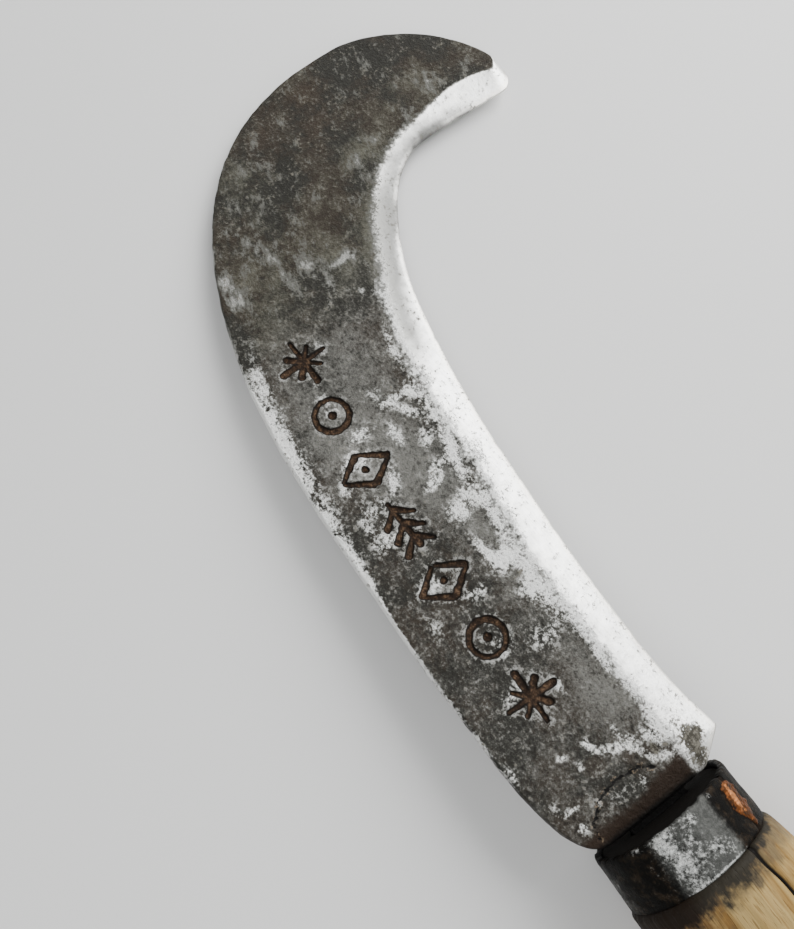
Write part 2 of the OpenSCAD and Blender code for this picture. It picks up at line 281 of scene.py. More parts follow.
# Unit direction of a line of points at each point
def directions(line):
    steps = np.gradient(line, axis=0)
    return steps / np.maximum(np.linalg.norm(steps, axis=1, keepdims=True), 1e-9)


# Where each cross section starts on the edge and ends on the back. Sections stand square to the handle's
# axis up to the crown, and then fan round the hook, at equal shares of both outlines.
def bladeStations():
    f = bladeForm
    fanX, noseY, beakX = f["fanStart"], -f["noseDrop"], f["reach"] - f["beakWidth"]
    tipX = beakX + f["tipRadius"]
    x = spread([f["shoulderGap"], f["closeStart"], fanX], [74, 290])
    fine = np.linspace(0, 1, 900)
    crown = quarterArc((f["crownStart"], noseY), f["reach"] - f["crownStart"], f["backRise"] - noseY,
                       f["crownPower"], fine)
    beak = quarterArc((tipX, noseY), f["reach"] - tipX, noseY + f["tipDrop"], f["beakPower"], fine[::-1])
    beak[:, 1] = 2 * noseY - beak[:, 1]
    throat = quarterArc((f["throatStart"], -f["throatDrop"]), beakX - f["throatStart"],
                        f["throatDrop"] - f["edgeDrop"], f["throatPower"], fine)
    turn = np.pi * (1 + fine / 2)
    tip = np.stack([tipX + f["tipRadius"] * np.cos(turn),
                    f["tipRadius"] * (1 + np.sin(turn)) - f["tipDrop"]], -1)
    backLine = np.concatenate([[[fanX, backHeight(fanX)]], crown[crown[:, 0] > fanX], beak[1:]])
    edgeLine = np.concatenate([[[fanX, edgeHeight(fanX)]], throat[throat[:, 0] > fanX], tip])
    shares = spread([0, 0.12, 0.999], [50, 176])[1:]
    back = np.concatenate([np.stack([x, backHeight(x)], -1), atShares(backLine, shares)])
    edge = np.concatenate([np.stack([x, edgeHeight(x)], -1), atShares(edgeLine, shares)])
    return back, edge


ornamentForm = {
    "height": 14, "stroke": 2.2, "depth": 0.7,
    "slope": 0.6,              # width of a stroke's sloping walls
    "start": 36.6, "spacing": 17.2, "inset": 16,
    "row": ["star", "sun", "lozenge", "sprig", "lozenge", "sun", "star"],
    "stray": 0.25, "lean": 3, "strokeLean": 2,     # how the hand strayed: millimetres, degrees, degrees
    "burr": 0.09, "burrAt": 0.22, "burrWide": 0.2,     # metal pushed up along each stroke
}


# Strokes of one ornament, each (x, y, length, turn) from the ornament's middle, and rings (radius, width)
def ornamentStrokes(kind):
    h, s = ornamentForm["height"], ornamentForm["stroke"]
    if kind == "star":
        return [(0, 0, h if turn % 90 == 0 else 0.72 * h, turn) for turn in (0, 45, 90, 135)], []
    if kind == "sun":
        return [], [(0.4 * h - s / 2, s), (0, 1.4 * s)]
    if kind == "lozenge":
        sides = [(a, b) for a in (-1, 1) for b in (-1, 1)]
        return [(a * 0.17 * h, b * 0.25 * h, 0.6 * h, -a * b * 56) for a, b in sides], [(0, 1.2 * s)]
    barbs = [(i, side) for i in (-1, 0, 1) for side in (-1, 1)]
    return [(0, 0, h, 0)] + [(0.3 * i * h - 0.1 * h, side * 0.16 * h, 0.42 * h, -side * 50)
                             for i, side in barbs], []


# Distance to the nearest chisel stroke, below 0 inside it. A stroke is a capsule that tapers towards
# one end: distance from its middle line - half width there. A ring is |radius - its own| - half width.
def markDistance(points):
    f = ornamentForm
    draw = np.random.default_rng(41)
    nearest = np.full(points.shape[:-1], 9.0)
    for number, kind in enumerate(f["row"]):
        x = f["start"] + number * f["spacing"]
        stray = draw.uniform(-f["stray"], f["stray"], 2)
        centre = np.array([x, backHeight(x) - f["inset"]]) + stray
        lean = math.radians(draw.uniform(-f["lean"], f["lean"]))
        spin = np.array([[math.cos(lean), -math.sin(lean)], [math.sin(lean), math.cos(lean)]])
        local = (points - centre) @ spin
        close = np.hypot(local[..., 0], local[..., 1]) < 11
        spot = local[close]
        found = nearest[close]
        strokes, rings = ornamentStrokes(kind)
        for sx, sy, length, turn in strokes:
            turn = math.radians(turn + draw.uniform(-f["strokeLean"], f["strokeLean"]))
            u = (spot[:, 0] - sx) * math.cos(turn) + (spot[:, 1] - sy) * math.sin(turn)
            v = (spot[:, 1] - sy) * math.cos(turn) - (spot[:, 0] - sx) * math.sin(turn)
            reach = length / 2 - f["stroke"] / 4
            taper = 0.84 - 0.2 * np.clip(u / reach, -1, 1) * draw.choice((-1, 1))
            away = np.hypot(np.maximum(np.abs(u) - reach, 0), v) - taper * f["stroke"] / 2
            found = np.minimum(found, away)
        for radius, width in rings:
            round_ = np.hypot(spot[:, 0], spot[:, 1])
            around = np.arctan2(spot[:, 1], spot[:, 0])
            uneven = 0.85 + 0.13 * np.sin(around + draw.uniform(0, 6))
            found = np.minimum(found, np.abs(round_ - radius) - uneven * width / 2)
        nearest[close] = found
    return nearest


# Distance to a line of straight pieces
def lineDistance(points, line):
    nearest = np.full(points.shape[:-1], 99.0)
    for a, b in zip(line[:-1], line[1:]):
        a, b = np.array(a), np.array(b)
        share = np.clip((points - a) @ (b - a) / ((b - a) @ (b - a)), 0, 1)
        nearest = np.minimum(nearest, np.linalg.norm(points - a - share[..., None] * (b - a), axis=-1))
    return nearest


# The cold shut is a fold in the iron that opened in forging: a ragged line round the shoulder
foldForm = {
    "line": [(2.8, 15.2), (6.4, 14.6), (8, 12.2), (9.8, 10), (10.5, 7), (11, 4), (10.5, 1.4),
             (10.3, -1.6), (9, -3.6), (8, -5)],
    "ragged": 0.16, "half": 0.34, "depth": 0.45,
    "lip": 0.1, "lipAt": 0.7, "lipHalf": 0.35,     # height, place and half width of its raised lip
}
# Ragged band of bare metal above it
bandForm = {
    "line": [(3, -12.6), (6.6, -12.6), (8.6, -9), (10, -6), (13.4, -4.6), (15.8, -2), (17, 1), (19, 4),
             (21, 4.6)],
    "half": 1.25, "amount": 0.66,
}

# Patches of the upper cheek's finishes: x, y, half length, half width, turn, amount
cheekPatches = {
    "worn": [                      # dark skin worn to bare metal
        # heel: below the band, and the corner by the back
        (13, -8.6, 3.4, 3, 0, 0.65), (16, -4.4, 1.6, 2, 0, 0.6), (19.6, -2.6, 2, 0.8, 0, 0.6),
        (19, 2.4, 2.4, 2, 40, 0.3), (14, -11.6, 5, 1.4, 0, 0.8), (7.4, -1, 1.6, 1, 0, 0.6),
        (8, 4.6, 1.6, 3, 0, 0.3), (9.4, 10.4, 1, 0.7, 0, 0.6), (7.2, 17, 1.4, 1.1, 0, 0.75),
        (11.6, 17, 1, 2, 0, 0.7), (14, 19.6, 2, 1.1, 0, 0.55), (18, 9, 1.4, 1, 0, 0.4),
        (26, 23, 2.6, 0.8, 0, 0.6), (21.8, 11.4, 0.7, 1.2, -30, 0.8), (24, -12, 7, 1.2, 0, 0.5),
        # middle: the speckled belt above the bevel and the patches round the ornament
        (35, 1.5, 2.6, 1, 0, 0.45), (33, -11, 5, 1.4, 0, 0.5), (46, -3, 3, 4, 0, 0.55),
        (44, -11.4, 8, 1.4, 0, 0.7), (58, -10, 9, 2.8, 0, 1.0), (57, -6, 3, 2.4, 0, 0.6),
        (67, -7, 3.4, 4, 0, 0.9), (72, -4, 5, 1.4, 10, 0.7), (83, -4.6, 3, 3.4, -40, 0.7),
        (78, -11.8, 10, 1.8, -8, 0.9), (85, -9.4, 3, 2.4, 0, 0.7), (92.6, -4, 1.6, 3, 0, 0.9),
        (96, -8, 1.8, 3, 0, 0.75), (96, -13, 8, 1.6, -14, 0.85), (99, 3.6, 4, 1.6, -30, 0.85),
        (104, -10, 3.4, 1.8, -40, 0.75), (108, -15.6, 9, 1.4, -8, 0.75), (112, -10.6, 3.6, 1.4, 35, 0.75),
        (117, -9, 1.4, 4.4, 0, 0.85), (116, -14.4, 3.4, 1.4, 0, 0.7), (109, -4, 3.6, 1.6, 0, 0.7),
        (114, 3, 2, 3.4, 0, 0.8), (109, 9, 2.4, 4, 0, 0.7), (96, 12, 3.4, 3, 0, 0.5),
        (87, 14, 2, 4, 0, 0.6), (103, 15, 3, 2, 0, 0.4), (121, -6, 3, 2, 0, 0.4), (92, 16, 5, 1.6, 0, 0.35),
        (64, 4, 2, 4, 0, 0.5), (50, 7, 2, 2.4, 0, 0.5), (40, 12, 2, 4, 0, 0.3), (72, 12, 2, 4, 0, 0.4),
        (126, 6, 4, 3, 0, 0.25), (128, -17.6, 7, 1.4, -12, 0.5), (63, 17, 3, 2, 0, 0.35),
        (141, -2, 3, 1, 0, 0.3),
        # crown: brushed patches
        (139, 17, 5, 2.2, -12, 0.6), (147, 15, 5, 2, -15, 0.55), (156, 11.6, 4, 2.5, -20, 0.5),
        (165, 8, 4, 3.4, -20, 0.8), (171, 8.6, 4, 2, -30, 0.7), (160.5, -6, 4, 1.6, 0, 0.7),
        (163.5, -13, 5, 2.4, 0, 0.85), (170, -8, 5, 5, 0, 0.3), (155, -15, 2, 2, 0, 0.7),
        (158.4, -19.5, 1.4, 3.4, 0, 1.2), (159, -24, 1.6, 2.6, 0, 1.0), (147.5, -21, 1.1, 1, 0, 0.9),
        (176, -4.6, 5, 2.4, 0, 0.6), (172, 1, 4, 2, 0, 0.4), (184, -14, 5, 1.6, 0, 0.5),
        (190, -7, 5, 2, 0, 0.35), (199, -22, 5, 2.4, 0, 0.4), (176, -18, 5, 2, 0, 0.35),
        (172, -35, 3, 2, 0, 0.35), (180, -43, 5, 3, 0, 0.5), (186, -50, 4, 4, 0, 0.45),
        (186, -64, 4, 4, 0, 0.45), (193, -76, 6, 4, 0, 0.45), (200, -31, 5, 2, 0, 0.4),
        (204, -54, 3, 3, 0, 0.35), (209, -64, 6, 2, 0, 0.3), (181, -4, 16, 3, -40, 0.2),
        (192, -88, 5, 2, 0, 0.3),
    ],
    "rusted": [                    # brown rust
        (205, -25, 8, 4, -60, 0.9), (201, -42, 7, 6, 0, 0.8), (211, -44, 4, 9, 0, 0.9),
        (181, -1, 5, 3, 0, 0.8), (155, -9, 2, 3, 0, 0.7), (162, 2, 3, 2, 0, 0.6), (192, -36, 9, 5, 0, 0.5),
        (196, -60, 7, 7, 0, 0.5), (209, -74, 5, 5, 0, 0.6), (190, -20, 8, 5, 0, 0.4),
        (170, -12, 3, 4, 0, 0.5), (64, 20, 18, 2.6, 0, 0.6), (46, 8, 5, 5, 0, 0.35), (36, 10, 4, 6, 0, 0.4),
        (103, 19.5, 14, 2, -4, 0.5), (16, 6.4, 3, 3.4, 0, 1.2), (12.4, -1.6, 2.4, 2.6, 0, 1),
        (37, -9, 1.8, 2.4, 0, 0.6), (128, -8, 6, 3, 0, 0.45), (84, 3, 6, 5, 0, 0.3), (30, 2, 9, 8, 0, 0.2),
        (138, 10, 7, 5, 0, 0.3),
    ],
    "dulled": [                    # skin dulled to grey, and the bevel darker in the throat
        (28, -6, 12, 6, 0, 0.5), (28, 8, 28, 16, 0, 0.1), (72, -7, 26, 6, 0, 0.55),
        (100, -3, 16, 9, 0, 0.62), (118, 8, 18, 10, 0, 0.75), (132, -8, 14, 8, 0, 0.45),
        (150, 5, 10, 8, 0, 0.3), (158, -20, 9, 5, 0, 0.6), (166, -2, 12, 9, 0, 0.35),
        (184, -46, 5, 7, 0, 0.7), (192, -70, 8, 14, 0, 0.25), (198, -12, 5, 4, -50, 0.4),
        (188, -13, 13, 9, 0, 0.25), (130, -24, 10, 4, -14, 0.6), (148, -30, 13, 5, -25, 0.85),
        (164, -40, 12, 6, -45, 0.9), (174, -52, 6, 4, -60, 0.4), (178.5, -66, 12, 3, -85, 0.7),
        (177.6, -80, 5, 1.6, -88, 0.5),
    ],
    "stained": [                   # dark stains on bare metal
        (4.2, -15.4, 3.4, 2.2, -24, 1.3), (8.4, -16.2, 2.6, 2.2, 0, 1.1), (8, -18.6, 1.3, 1.5, 0, 0.8),
        (10, -16.6, 6, 3.4, 0, 0.3), (11.3, -7.5, 1.9, 1.1, 0, 1.2), (10.2, -10.4, 1, 1.1, 0, 0.9),
        (13.4, -10.6, 0.7, 0.6, 0, 0.6), (59, -11.6, 0.9, 1.6, 0, 0.7), (139.6, -24.4, 0.9, 0.7, 0, 0.7),
        (121.5, -19, 1, 0.8, 0, 0.7), (45, -9.6, 1, 0.7, 0, 0.7), (62, -7, 1.4, 1.8, 0, 0.7),
        (69, -10, 2, 1.2, 30, 0.6), (177, -61, 1.2, 1.6, 0, 0.35), (178.6, -82, 0.9, 1.2, 0, 0.7),
        (110, -22, 1.4, 0.7, 0, 0.35), (154.6, -29.6, 1.6, 0.9, -30, 0.8),
    ],
}
# Worn strips along the back: amount, half width, how much wider it is in the middle, the ranges of x over
# which it starts and ends, and how much of it ends
backStrips = [
    (1.15, 0.5, 3.2, (46, 62), (135, 158), 1), (0.6, 0.5, 0, (16, 40), (150, 170), 0.6),
    (0.8, 0.4, 0, (138, 150), (190, 208), 1),
]


# Sum of bells over the patches of a list
def patches(points, spots):
    return sum(amount * bell(points, x, y, a, b, turn) for x, y, a, b, turn, amount in spots)


# Wear along the back: the sum of its strips, each a bell curve of the distance from the back
def backWear(x, backAway):
    middle = ease(x, 66, 104) * (1 - ease(x, 132, 160))
    total = 0
    for amount, half, wider, starts, ends, ending in backStrips:
        along = ease(x, *starts) * (1 - ending * ease(x, *ends))
        total = total + amount * hump(backAway, half + wider * middle) * along
    return total


# Rows from the tang's head to the blade's first loop. The head is a hammered dome of circles, the tang's
# sections are rectangles that taper to it, and the shoulder's end face shrinks to the tang in three steps.
# Sideways and upright run from -1 to 1 round the loop.
def forgeTang(heelLoop, sideways, upright, shoulderTop):
    f = bladeForm
    low, high = -f["heelThick"] / 2 + f["tangStep"], shoulderTop - f["tangStep"]
    middle, half = (low + high) / 2, (high - low) / 2
    tangX = np.linspace(-f["tangLength"], f["shoulderGap"], 30)
    tangHalf = f["tangEndHalf"] + (f["tangHalf"] - f["tangEndHalf"]) * np.linspace(0, 1, 30)
    tang = pointGrid(tangX[:, None], tangHalf[:, None] * sideways, middle + half * upright)
    endFace = tang[-1] + (heelLoop - tang[-1]) * np.array([0.3, 0.6, 0.85])[:, None, None]
    turn = np.arctan2(upright, sideways)
    dome = np.radians([84, 70, 56, 42, 28, 14, 0, 0])
    domeRise = f["headRim"] + (f["headHeight"] - f["headRim"]) * np.sin(dome[:-1])
    headX = -f["tangLength"] - np.append(domeRise, 0)
    headR = f["headRadius"] * np.cos(dome) ** 0.8
    head = pointGrid(headX[:, None], headR[:, None] * np.cos(turn), headR[:, None] * np.sin(turn))
    head[..., 0] += 0.12 * swell(head[..., 1:], 5, 51) * ease(headR, 0, 5)[:, None]
    head[..., 1:] *= 1 + 0.03 * swell(head, 7, 52)[..., None]
    return np.concatenate([head, tang, endFace])


# The whole blade with its tang as one grid. A row is a loop round one section: over the upper cheek from
# edge to back, down the back, under the flat cheek and up the edge. In plan a point is edge + (back - edge)
# * share. Its height is the cheek's, less (cheek - edge) * ramp / bevel width in the bevel, and less what the
# corners, the pits, the strokes and the fold take off.
def forgeBlade():
    f, o, spots = bladeForm, ornamentForm, cheekPatches
    draw = np.random.default_rng(7)
    flat = -f["heelThick"] / 2
    back, edge = bladeStations()
    width = np.linalg.norm(back - edge, axis=1)
    across = (back - edge) / width[:, None]
    edgeRun, backRun = runningLength(edge), runningLength(back)

    # uneven outline: long waves in the back and the edge, and nicks in the edge
    leanEdge = np.abs(np.cross(across, directions(edge)))[:, None]
    leanBack = np.abs(np.cross(across, directions(back)))[:, None]
    calm = ease(width, 2, 10)          # the waves die out where the beak is narrow
    wavy = 0.04 * swell(back, 8, 3) + 0.02 * swell(back, 3, 4)
    wavy += sum(out * hump(backRun - at, half) for at, half, out in f["backWaves"])
    bowed = sum(out * hump(edgeRun - at, half) for at, half, out in f["edgeWaves"])
    nick = sum(depth * hump(edgeRun - at, half) for at, half, depth in f["nicks"])
    nick = (nick + 0.02 * swell(edge, 4, 5)) * calm
    back = back + across * (wavy * calm)[:, None]
    edge = edge - across * (bowed * calm)[:, None]

    # one loop, in shares of the way from edge to back, with its four stretches
    topShares = spread([0, 0.25, 0.47, 0.83, 0.965, 1], [23, 17, 52, 11, 7])
    underShares = np.concatenate([[1, 0.995, 0.985], np.linspace(0.97, 0.14, 18), np.linspace(0.11, 0, 7)])
    backWall, edgeWall = np.linspace(0, 1, 10)[1:-1], np.linspace(0, 1, 6)[1:-1]
    over = slice(0, len(topShares))
    down = slice(over.stop, over.stop + len(backWall))
    under = slice(down.stop, down.stop + len(underShares))
    rise = slice(under.stop, under.stop + len(edgeWall))
    shares = np.concatenate([topShares, np.ones(len(backWall)), underShares, np.zeros(len(edgeWall))])
    plan = edge[:, None] + (back - edge)[:, None] * shares[None, :, None]
    x = plan[..., 0]
    cheek = flat + f["heelThick"] + (f["noseThick"] - f["heelThick"]) * x / f["reach"]
    edgeAway = width[:, None] * shares * leanEdge
    backAway = width[:, None] * (1 - shares) * leanBack
    plan = plan + (nick[:, None] * np.exp(-edgeAway / f["nickReach"]))[..., None] * across[:, None]
    heelAway = x - f["shoulderGap"]
    cheek = cheek - f["rollDepth"] * np.clip(1 - heelAway / f["rollLength"], 0, 1) ** 2

    # bevel: the cheek drops towards the edge with a softly rounded crease at the bevel's inner line
    bevelWidth = np.interp(edgeRun, f["bevelAt"], f["bevelWidth"])
    bevelWidth = np.convolve(np.pad(bevelWidth, 8, "edge"), np.ones(17) / 17, "valid")
    # near the heel its inner line stays level, and the heel's chamfer cuts the bevel off, so there it is
    # measured from the edge's own line
    bevelWidth = np.minimum(bevelWidth, f["heelBevel"] - edge[:, 1] + 9 * ease(edge[:, 0], 9, 26))
    heelLine = -f["edgeDrop"] - f["heelStep"]
    cutOff = edge[:, 0] < f["shoulderGap"] + f["heelLength"]
    bevelWidth = np.where(cutOff, f["heelBevel"] - heelLine, bevelWidth)[:, None]
    groundAway = np.where(cutOff[:, None], plan[..., 1] - heelLine, edgeAway)
    edgeMiddle = flat + f["edgeMiddle"] * (cheek - flat)
    halfEdge = f["edgeThick"] / 2
    blend = f["bevelBlend"] * (1 - 0.6 * ease(edgeRun, 150, 200))[:, None]
    inside = softRamp(bevelWidth - groundAway, blend)
    upper = cheek - (cheek - edgeMiddle - halfEdge) * inside / bevelWidth
    honed = softRamp(f["honeWidth"] - groundAway, f["honeBlend"])
    upper = upper - f["honeDrop"] * honed / f["honeWidth"]
    roundness = np.minimum(f["backRound"], 0.3 * np.maximum(width, 0.5))[:, None]
    upper = upper - cornerDrop(backAway, roundness)
    upper = upper - f["arrisDepth"] * np.clip(1 - heelAway / f["arrisLength"], 0, 1) ** 2

    # surface of the upper cheek: hammer marks, pits, the ornament, the fold
    rough = ease(groundAway - bevelWidth, -0.5, 2)
    upper = upper + f["hammered"] * (swell(plan, 15, 11) * 0.7 + swell(plan, 5, 12) * 0.35) * rough
    upper = upper + 0.01 * swell(plan, 6, 13) * (1 - rough)
    pitted = np.zeros_like(x)
    for _ in range(f["pits"]):
        row, column = draw.integers(0, len(back)), draw.integers(20, len(topShares) - 8)
        size = draw.uniform(*f["pitSize"])
        away = np.linalg.norm(plan - plan[row, column], axis=-1)
        pitted = np.maximum(pitted, hump(away, size) * draw.uniform(0.3, 1))
    upper = upper - f["pitDepth"] * pitted * rough
    mark = markDistance(plan)
    mark[:, over.stop:] = 9
    hand = mark + 0.07 * swell(plan, 2.6, 21)
    cut = 1 - (1 - np.clip(-hand / o["slope"], 0, 1)) ** 2
    burr = hump(hand - o["burrAt"], o["burrWide"]) * (0.6 + 0.5 * swell(plan, 4, 22))
    upper = upper - o["depth"] * cut + o["burr"] * burr
    ragged = plan + foldForm["ragged"] * np.stack([swell(plan, 1.6, 31), swell(plan, 1.6, 32)], -1)
    shut = lineDistance(ragged, foldForm["line"])
    shut[:, over.stop:] = 99
    lip = foldForm["lip"] * hump(shut - foldForm["lipAt"], foldForm["lipHalf"])
    upper = upper - foldForm["depth"] * hump(shut, foldForm["half"]) + lip

    # flat cheek below, with its narrow bevel and rounded corner
    insideUnder = softRamp(f["underBevel"] - edgeAway, f["underBlend"])
    lower = flat + (edgeMiddle - halfEdge - flat) * insideUnder / f["underBevel"]
    lower = lower + cornerDrop(backAway, f["underRound"])
    uneven = 1 + swell(plan, 11, 14)
    lower = lower + f["underWave"] * uneven * ease(backAway, 0, 2) * ease(edgeAway, 3, 6)

    # the back and the edge join the two cheeks, and swell out a little between them
    height = np.where(np.arange(len(shares)) < over.stop, upper, lower)
    topAtBack, lowAtBack = upper[:, over.stop - 1, None], lower[:, under.start, None]
    topAtEdge, lowAtEdge = upper[:, :1], lower[:, under.stop - 1, None]
    height[:, down] = topAtBack + (lowAtBack - topAtBack) * backWall
    height[:, rise] = lowAtEdge + (topAtEdge - lowAtEdge) * edgeWall
    bulge = np.zeros_like(x)
    bulge[:, down] = f["backBulge"] * np.sin(np.pi * backWall) * calm[:, None]
    bulge[:, rise] = -f["edgeBulge"] * np.sin(np.pi * edgeWall) * calm[:, None]
    plan = plan + across[:, None] * bulge[..., None]
    bladeGrid = np.concatenate([plan, height[..., None]], -1)

    upright = np.concatenate([np.ones(len(topShares)), 1 - 2 * backWall, -np.ones(len(underShares)),
                              2 * edgeWall - 1])
    tangGrid = forgeTang(bladeGrid[0], 2 * shares - 1, upright, bladeGrid[0, over, 2].max())

    # Field over the whole piece: one number on the tang and the given values on the blade
    def padded(values, fill):
        return np.concatenate([np.full((len(tangGrid), len(shares)), float(fill)), values])

    crisp = sum(share * ease(edgeRun, low, high) for low, high, share in f["crispAt"])
    strip = backWear(x, backAway) * (0.85 + 0.2 * swell(plan, 14, 61))
    band = bandForm["amount"] * hump(lineDistance(plan, bandForm["line"]), bandForm["half"])
    fields = {
        "crisp": padded(crisp[:, None] + 0 * x, 0),
        "edgeAway": padded(edgeAway, 40),
        "bevelAway": padded(groundAway - bevelWidth, 30),
        "mark": padded(hand, 9),
        "shut": padded(shut, 99),
        "worn": padded(np.maximum(np.maximum(patches(plan, spots["worn"]), strip), band), -0.6),
        "rusted": padded(patches(plan, spots["rusted"]), 0.4),
        "dulled": padded(patches(plan, spots["dulled"]), 0),
        "stained": padded(patches(plan, spots["stained"]), 1),
        "pitted": padded(pitted, 0),
    }
    return loftMesh("forgedBlade", np.concatenate([tangGrid, bladeGrid]), fields)


blade = forgeBlade()
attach(blade, "root")
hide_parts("blade")


# Ferrule

# A C-shaped ring of strip: the section's loop (outer face, rear rim, inner face, front rim) is carried
# round the axis from one side of the seam to the other. Turn is measured from the top to the edge side. A
# point is (-length * share, -radius sin(turn), radius cos(turn)), with radius = outside - wall * depth
# - lip at the rims + swells of the outer face.
def rollFerrule():
    f = ferruleForm
    seamHalf = math.degrees(f["seamWidth"] / 2 / f["radius"])
    turns = np.radians(np.linspace(f["seamTurn"] + seamHalf, f["seamTurn"] + 360 - seamHalf, 300))
    face, rim = np.linspace(0, 1, 34), np.linspace(0, 1, 7)[1:-1]
    lengthShare = np.concatenate([face, np.ones(len(rim)), np.linspace(1, 0, 10), np.zeros(len(rim))])
    wallShare = np.concatenate([np.zeros(len(face)), rim, np.ones(10), rim[::-1]])
    turn, share = np.meshgrid(turns, lengthShare, indexing="ij")
    depth = np.broadcast_to(wallShare, share.shape)
    around = np.stack([np.cos(turn), np.sin(turn)], -1) * f["radius"]
    frontWear = f["rimWear"] * (swell(around, 5, 71) + 0.5 * swell(around, 1.8, 72))
    rearWear = 0.5 * f["rimWear"] * swell(around, 7, 73)
    x = -share * f["length"] - frontWear * (1 - share) ** 6 + rearWear * share ** 6
    x = x + f["slant"] * around[..., 1]
    surface = np.concatenate([around, x[..., None]], -1)
    outward = 1 - depth
    rimAway = (share * f["length"], (1 - share) * f["length"])
    lip = f["rimRound"] * sum(hump(away, f["rimRound"]) for away in rimAway)
    radius = f["radius"] - depth * f["wall"] - lip * outward
    radius += outward * f["dent"] * (0.6 * swell(surface, 14, 74) + 0.3 * swell(surface, 4, 75))
    radius -= outward * f["underFlat"] * ease(np.cos(turn), -0.9, -1)
    grid = np.stack([x, -radius * np.sin(turn), radius * np.cos(turn)], -1)
    signed = (np.degrees(turn) + 180) % 360 - 180
    spot = np.stack([signed, share * f["length"]], -1)
    fields = {
        # painted light: the top band is grey steel where the light falls; the grey patches are the steel's
        # own
        "lit": ease(signed, -36, -20) * (1 - ease(signed, 15, 27)) + patches(spot, f["grey"]),
        "worn": patches(spot, f["worn"]),
        "depth": depth,
    }
    return loftMesh("rolledFerrule", grid, fields)


ferrule = rollFerrule()
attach(ferrule, "root")
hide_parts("ferrule")

brazeForm = {
    "turn": 43, "drift": 4,    # middle of the copper patch and its drift towards the rear, in degrees
    "half": 3.7,               # half width of the patch
    "short": 0.15,             # how far it ends before each rim
    "proud": 0.34, "sink": 1.5,
    "run": 0.25,               # how far below the steel it runs out
    "paintedGlint": (42.6, 5, 3, 3.6),   # painted highlight on the copper: turn, distance, half turn, half length
}


# Brazing metal: a ragged ridge along the seam. Its height over the ferrule is a bell across the seam
# times a wavy length, and where that falls below the steel its edge shows as a ragged line.
def pourBraze():
    f, r = brazeForm, ferruleForm["radius"]
    across = np.linspace(-1, 1, 46)
    lengths = np.linspace(0, 1, 90)
    share, side = np.meshgrid(lengths, across, indexing="ij")
    x = -f["short"] - share * (ferruleForm["length"] - 2 * f["short"])
    flatMap = np.stack([x, side * f["half"]], -1)
    wide = 0.22 + 0.85 * np.exp(-(((share - 0.4) / 0.34) ** 4))
    wide = wide * (1 + 0.1 * swell(flatMap, 2.2, 82)) + 0.06 * swell(flatMap, 0.9, 85)
    ridge = np.exp(-((side * 1.35 / wide) ** 4))
    lumps = 0.04 * swell(flatMap, 2.6, 83) + 0.025 * swell(flatMap, 1.0, 84)
    ends = ease(share, 0.04, 0.16) * (1 - ease(share, 0.84, 0.95))
    top = r - f["run"] + (f["proud"] + f["run"] + lumps) * ridge * (0.3 + 0.7 * ends)
    turn = np.radians(f["turn"] + f["drift"] * share) + side * f["half"] / r
    upper = np.stack([x, -top * np.sin(turn), top * np.cos(turn)], -1)
    seam = math.radians(ferruleForm["seamTurn"]) + side * ferruleForm["seamWidth"] * 0.42 / r
    inner = np.full_like(x, r - f["sink"])
    lower = np.stack([x, -inner * np.sin(seam), inner * np.cos(seam)], -1)
    grid = np.concatenate([upper, lower[:, ::-1]], 1)[::-1]
    proud = np.concatenate([top - r, inner - r], 1)[::-1]
    # painted highlight: a bell on the copper's top where it is drawn bright
    paintedGlint = bell(np.stack([np.degrees(turn), -x], -1), *f["paintedGlint"])
    paintedGlint = np.concatenate([paintedGlint, 0 * paintedGlint], 1)[::-1]
    return loftMesh("brazedSeam", grid, {"proud": proud, "paintedGlint": paintedGlint})


braze = pourBraze()
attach(braze, "root")
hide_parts("ferrule_braze")


# Handle

handleForm = {
    "length": 140, "recess": 0.8, "seatRadius": 16.85, "seatEnd": 13.6,
    # distance behind the ferrule's front face, sag, half width, half thickness
    "neck": (13.6, 0, 19.2, 19.2), "belly": (52, 3, 22, 18.6),
    "waist": (98, 1, 17.5, 15.5), "pommel": (127, 5, 21.5, 17),
    "buttShare": 0.66, "buttBack": 13,
    "neckRound": 0.9, "neckRun": 1.6,          # how the wood is rounded over behind the ferrule
    "facets": 15, "facetDepth": 0.22,          # flats left by the drawknife
    "tangClear": 0.2,
    # Splits from the ferrule and from the butt: distance behind the front face, turn from the top in degrees
    "split": [(9, 28), (14, 26.6), (19, 24.7), (24, 23.2), (34, 22.4), (47, 24), (58, 27)],
    "rearSplit": [(139.5, -100), (124, -96), (112, -97), (101, -92)],
    "splitHalf": 0.5, "splitDepth": 1.1, "rearHalf": 0.28, "rearDepth": 0.6,
    "splitLip": 0.12, "splitLipAt": 1.0, "splitLipHalf": 0.4,      # raised wood along the first split
    "perDegree": 0.33,                         # width of one degree of turn on the flat map of the grip
    # Dark smudges: turn, distance behind the ferrule's front face, half turn, half length, lean, amount
    "smudges": [(11.5, 18.2, 4.4, 2.1, 0, 1.4), (2, 16, 8, 1.4, 0, 0.8), (-22, 16.4, 9, 1.4, 0, 0.7),
                (-42, 16, 9, 2.6, 0, 0.8), (-6, 19.4, 6, 0.7, 0, 0.35), (150, 30, 30, 9, 0, 0.5),
                (-120, 40, 24, 14, 0, 0.4), (60, 96, 30, 12, 0, 0.35), (-50, 108, 26, 10, 0, 0.4)],
}


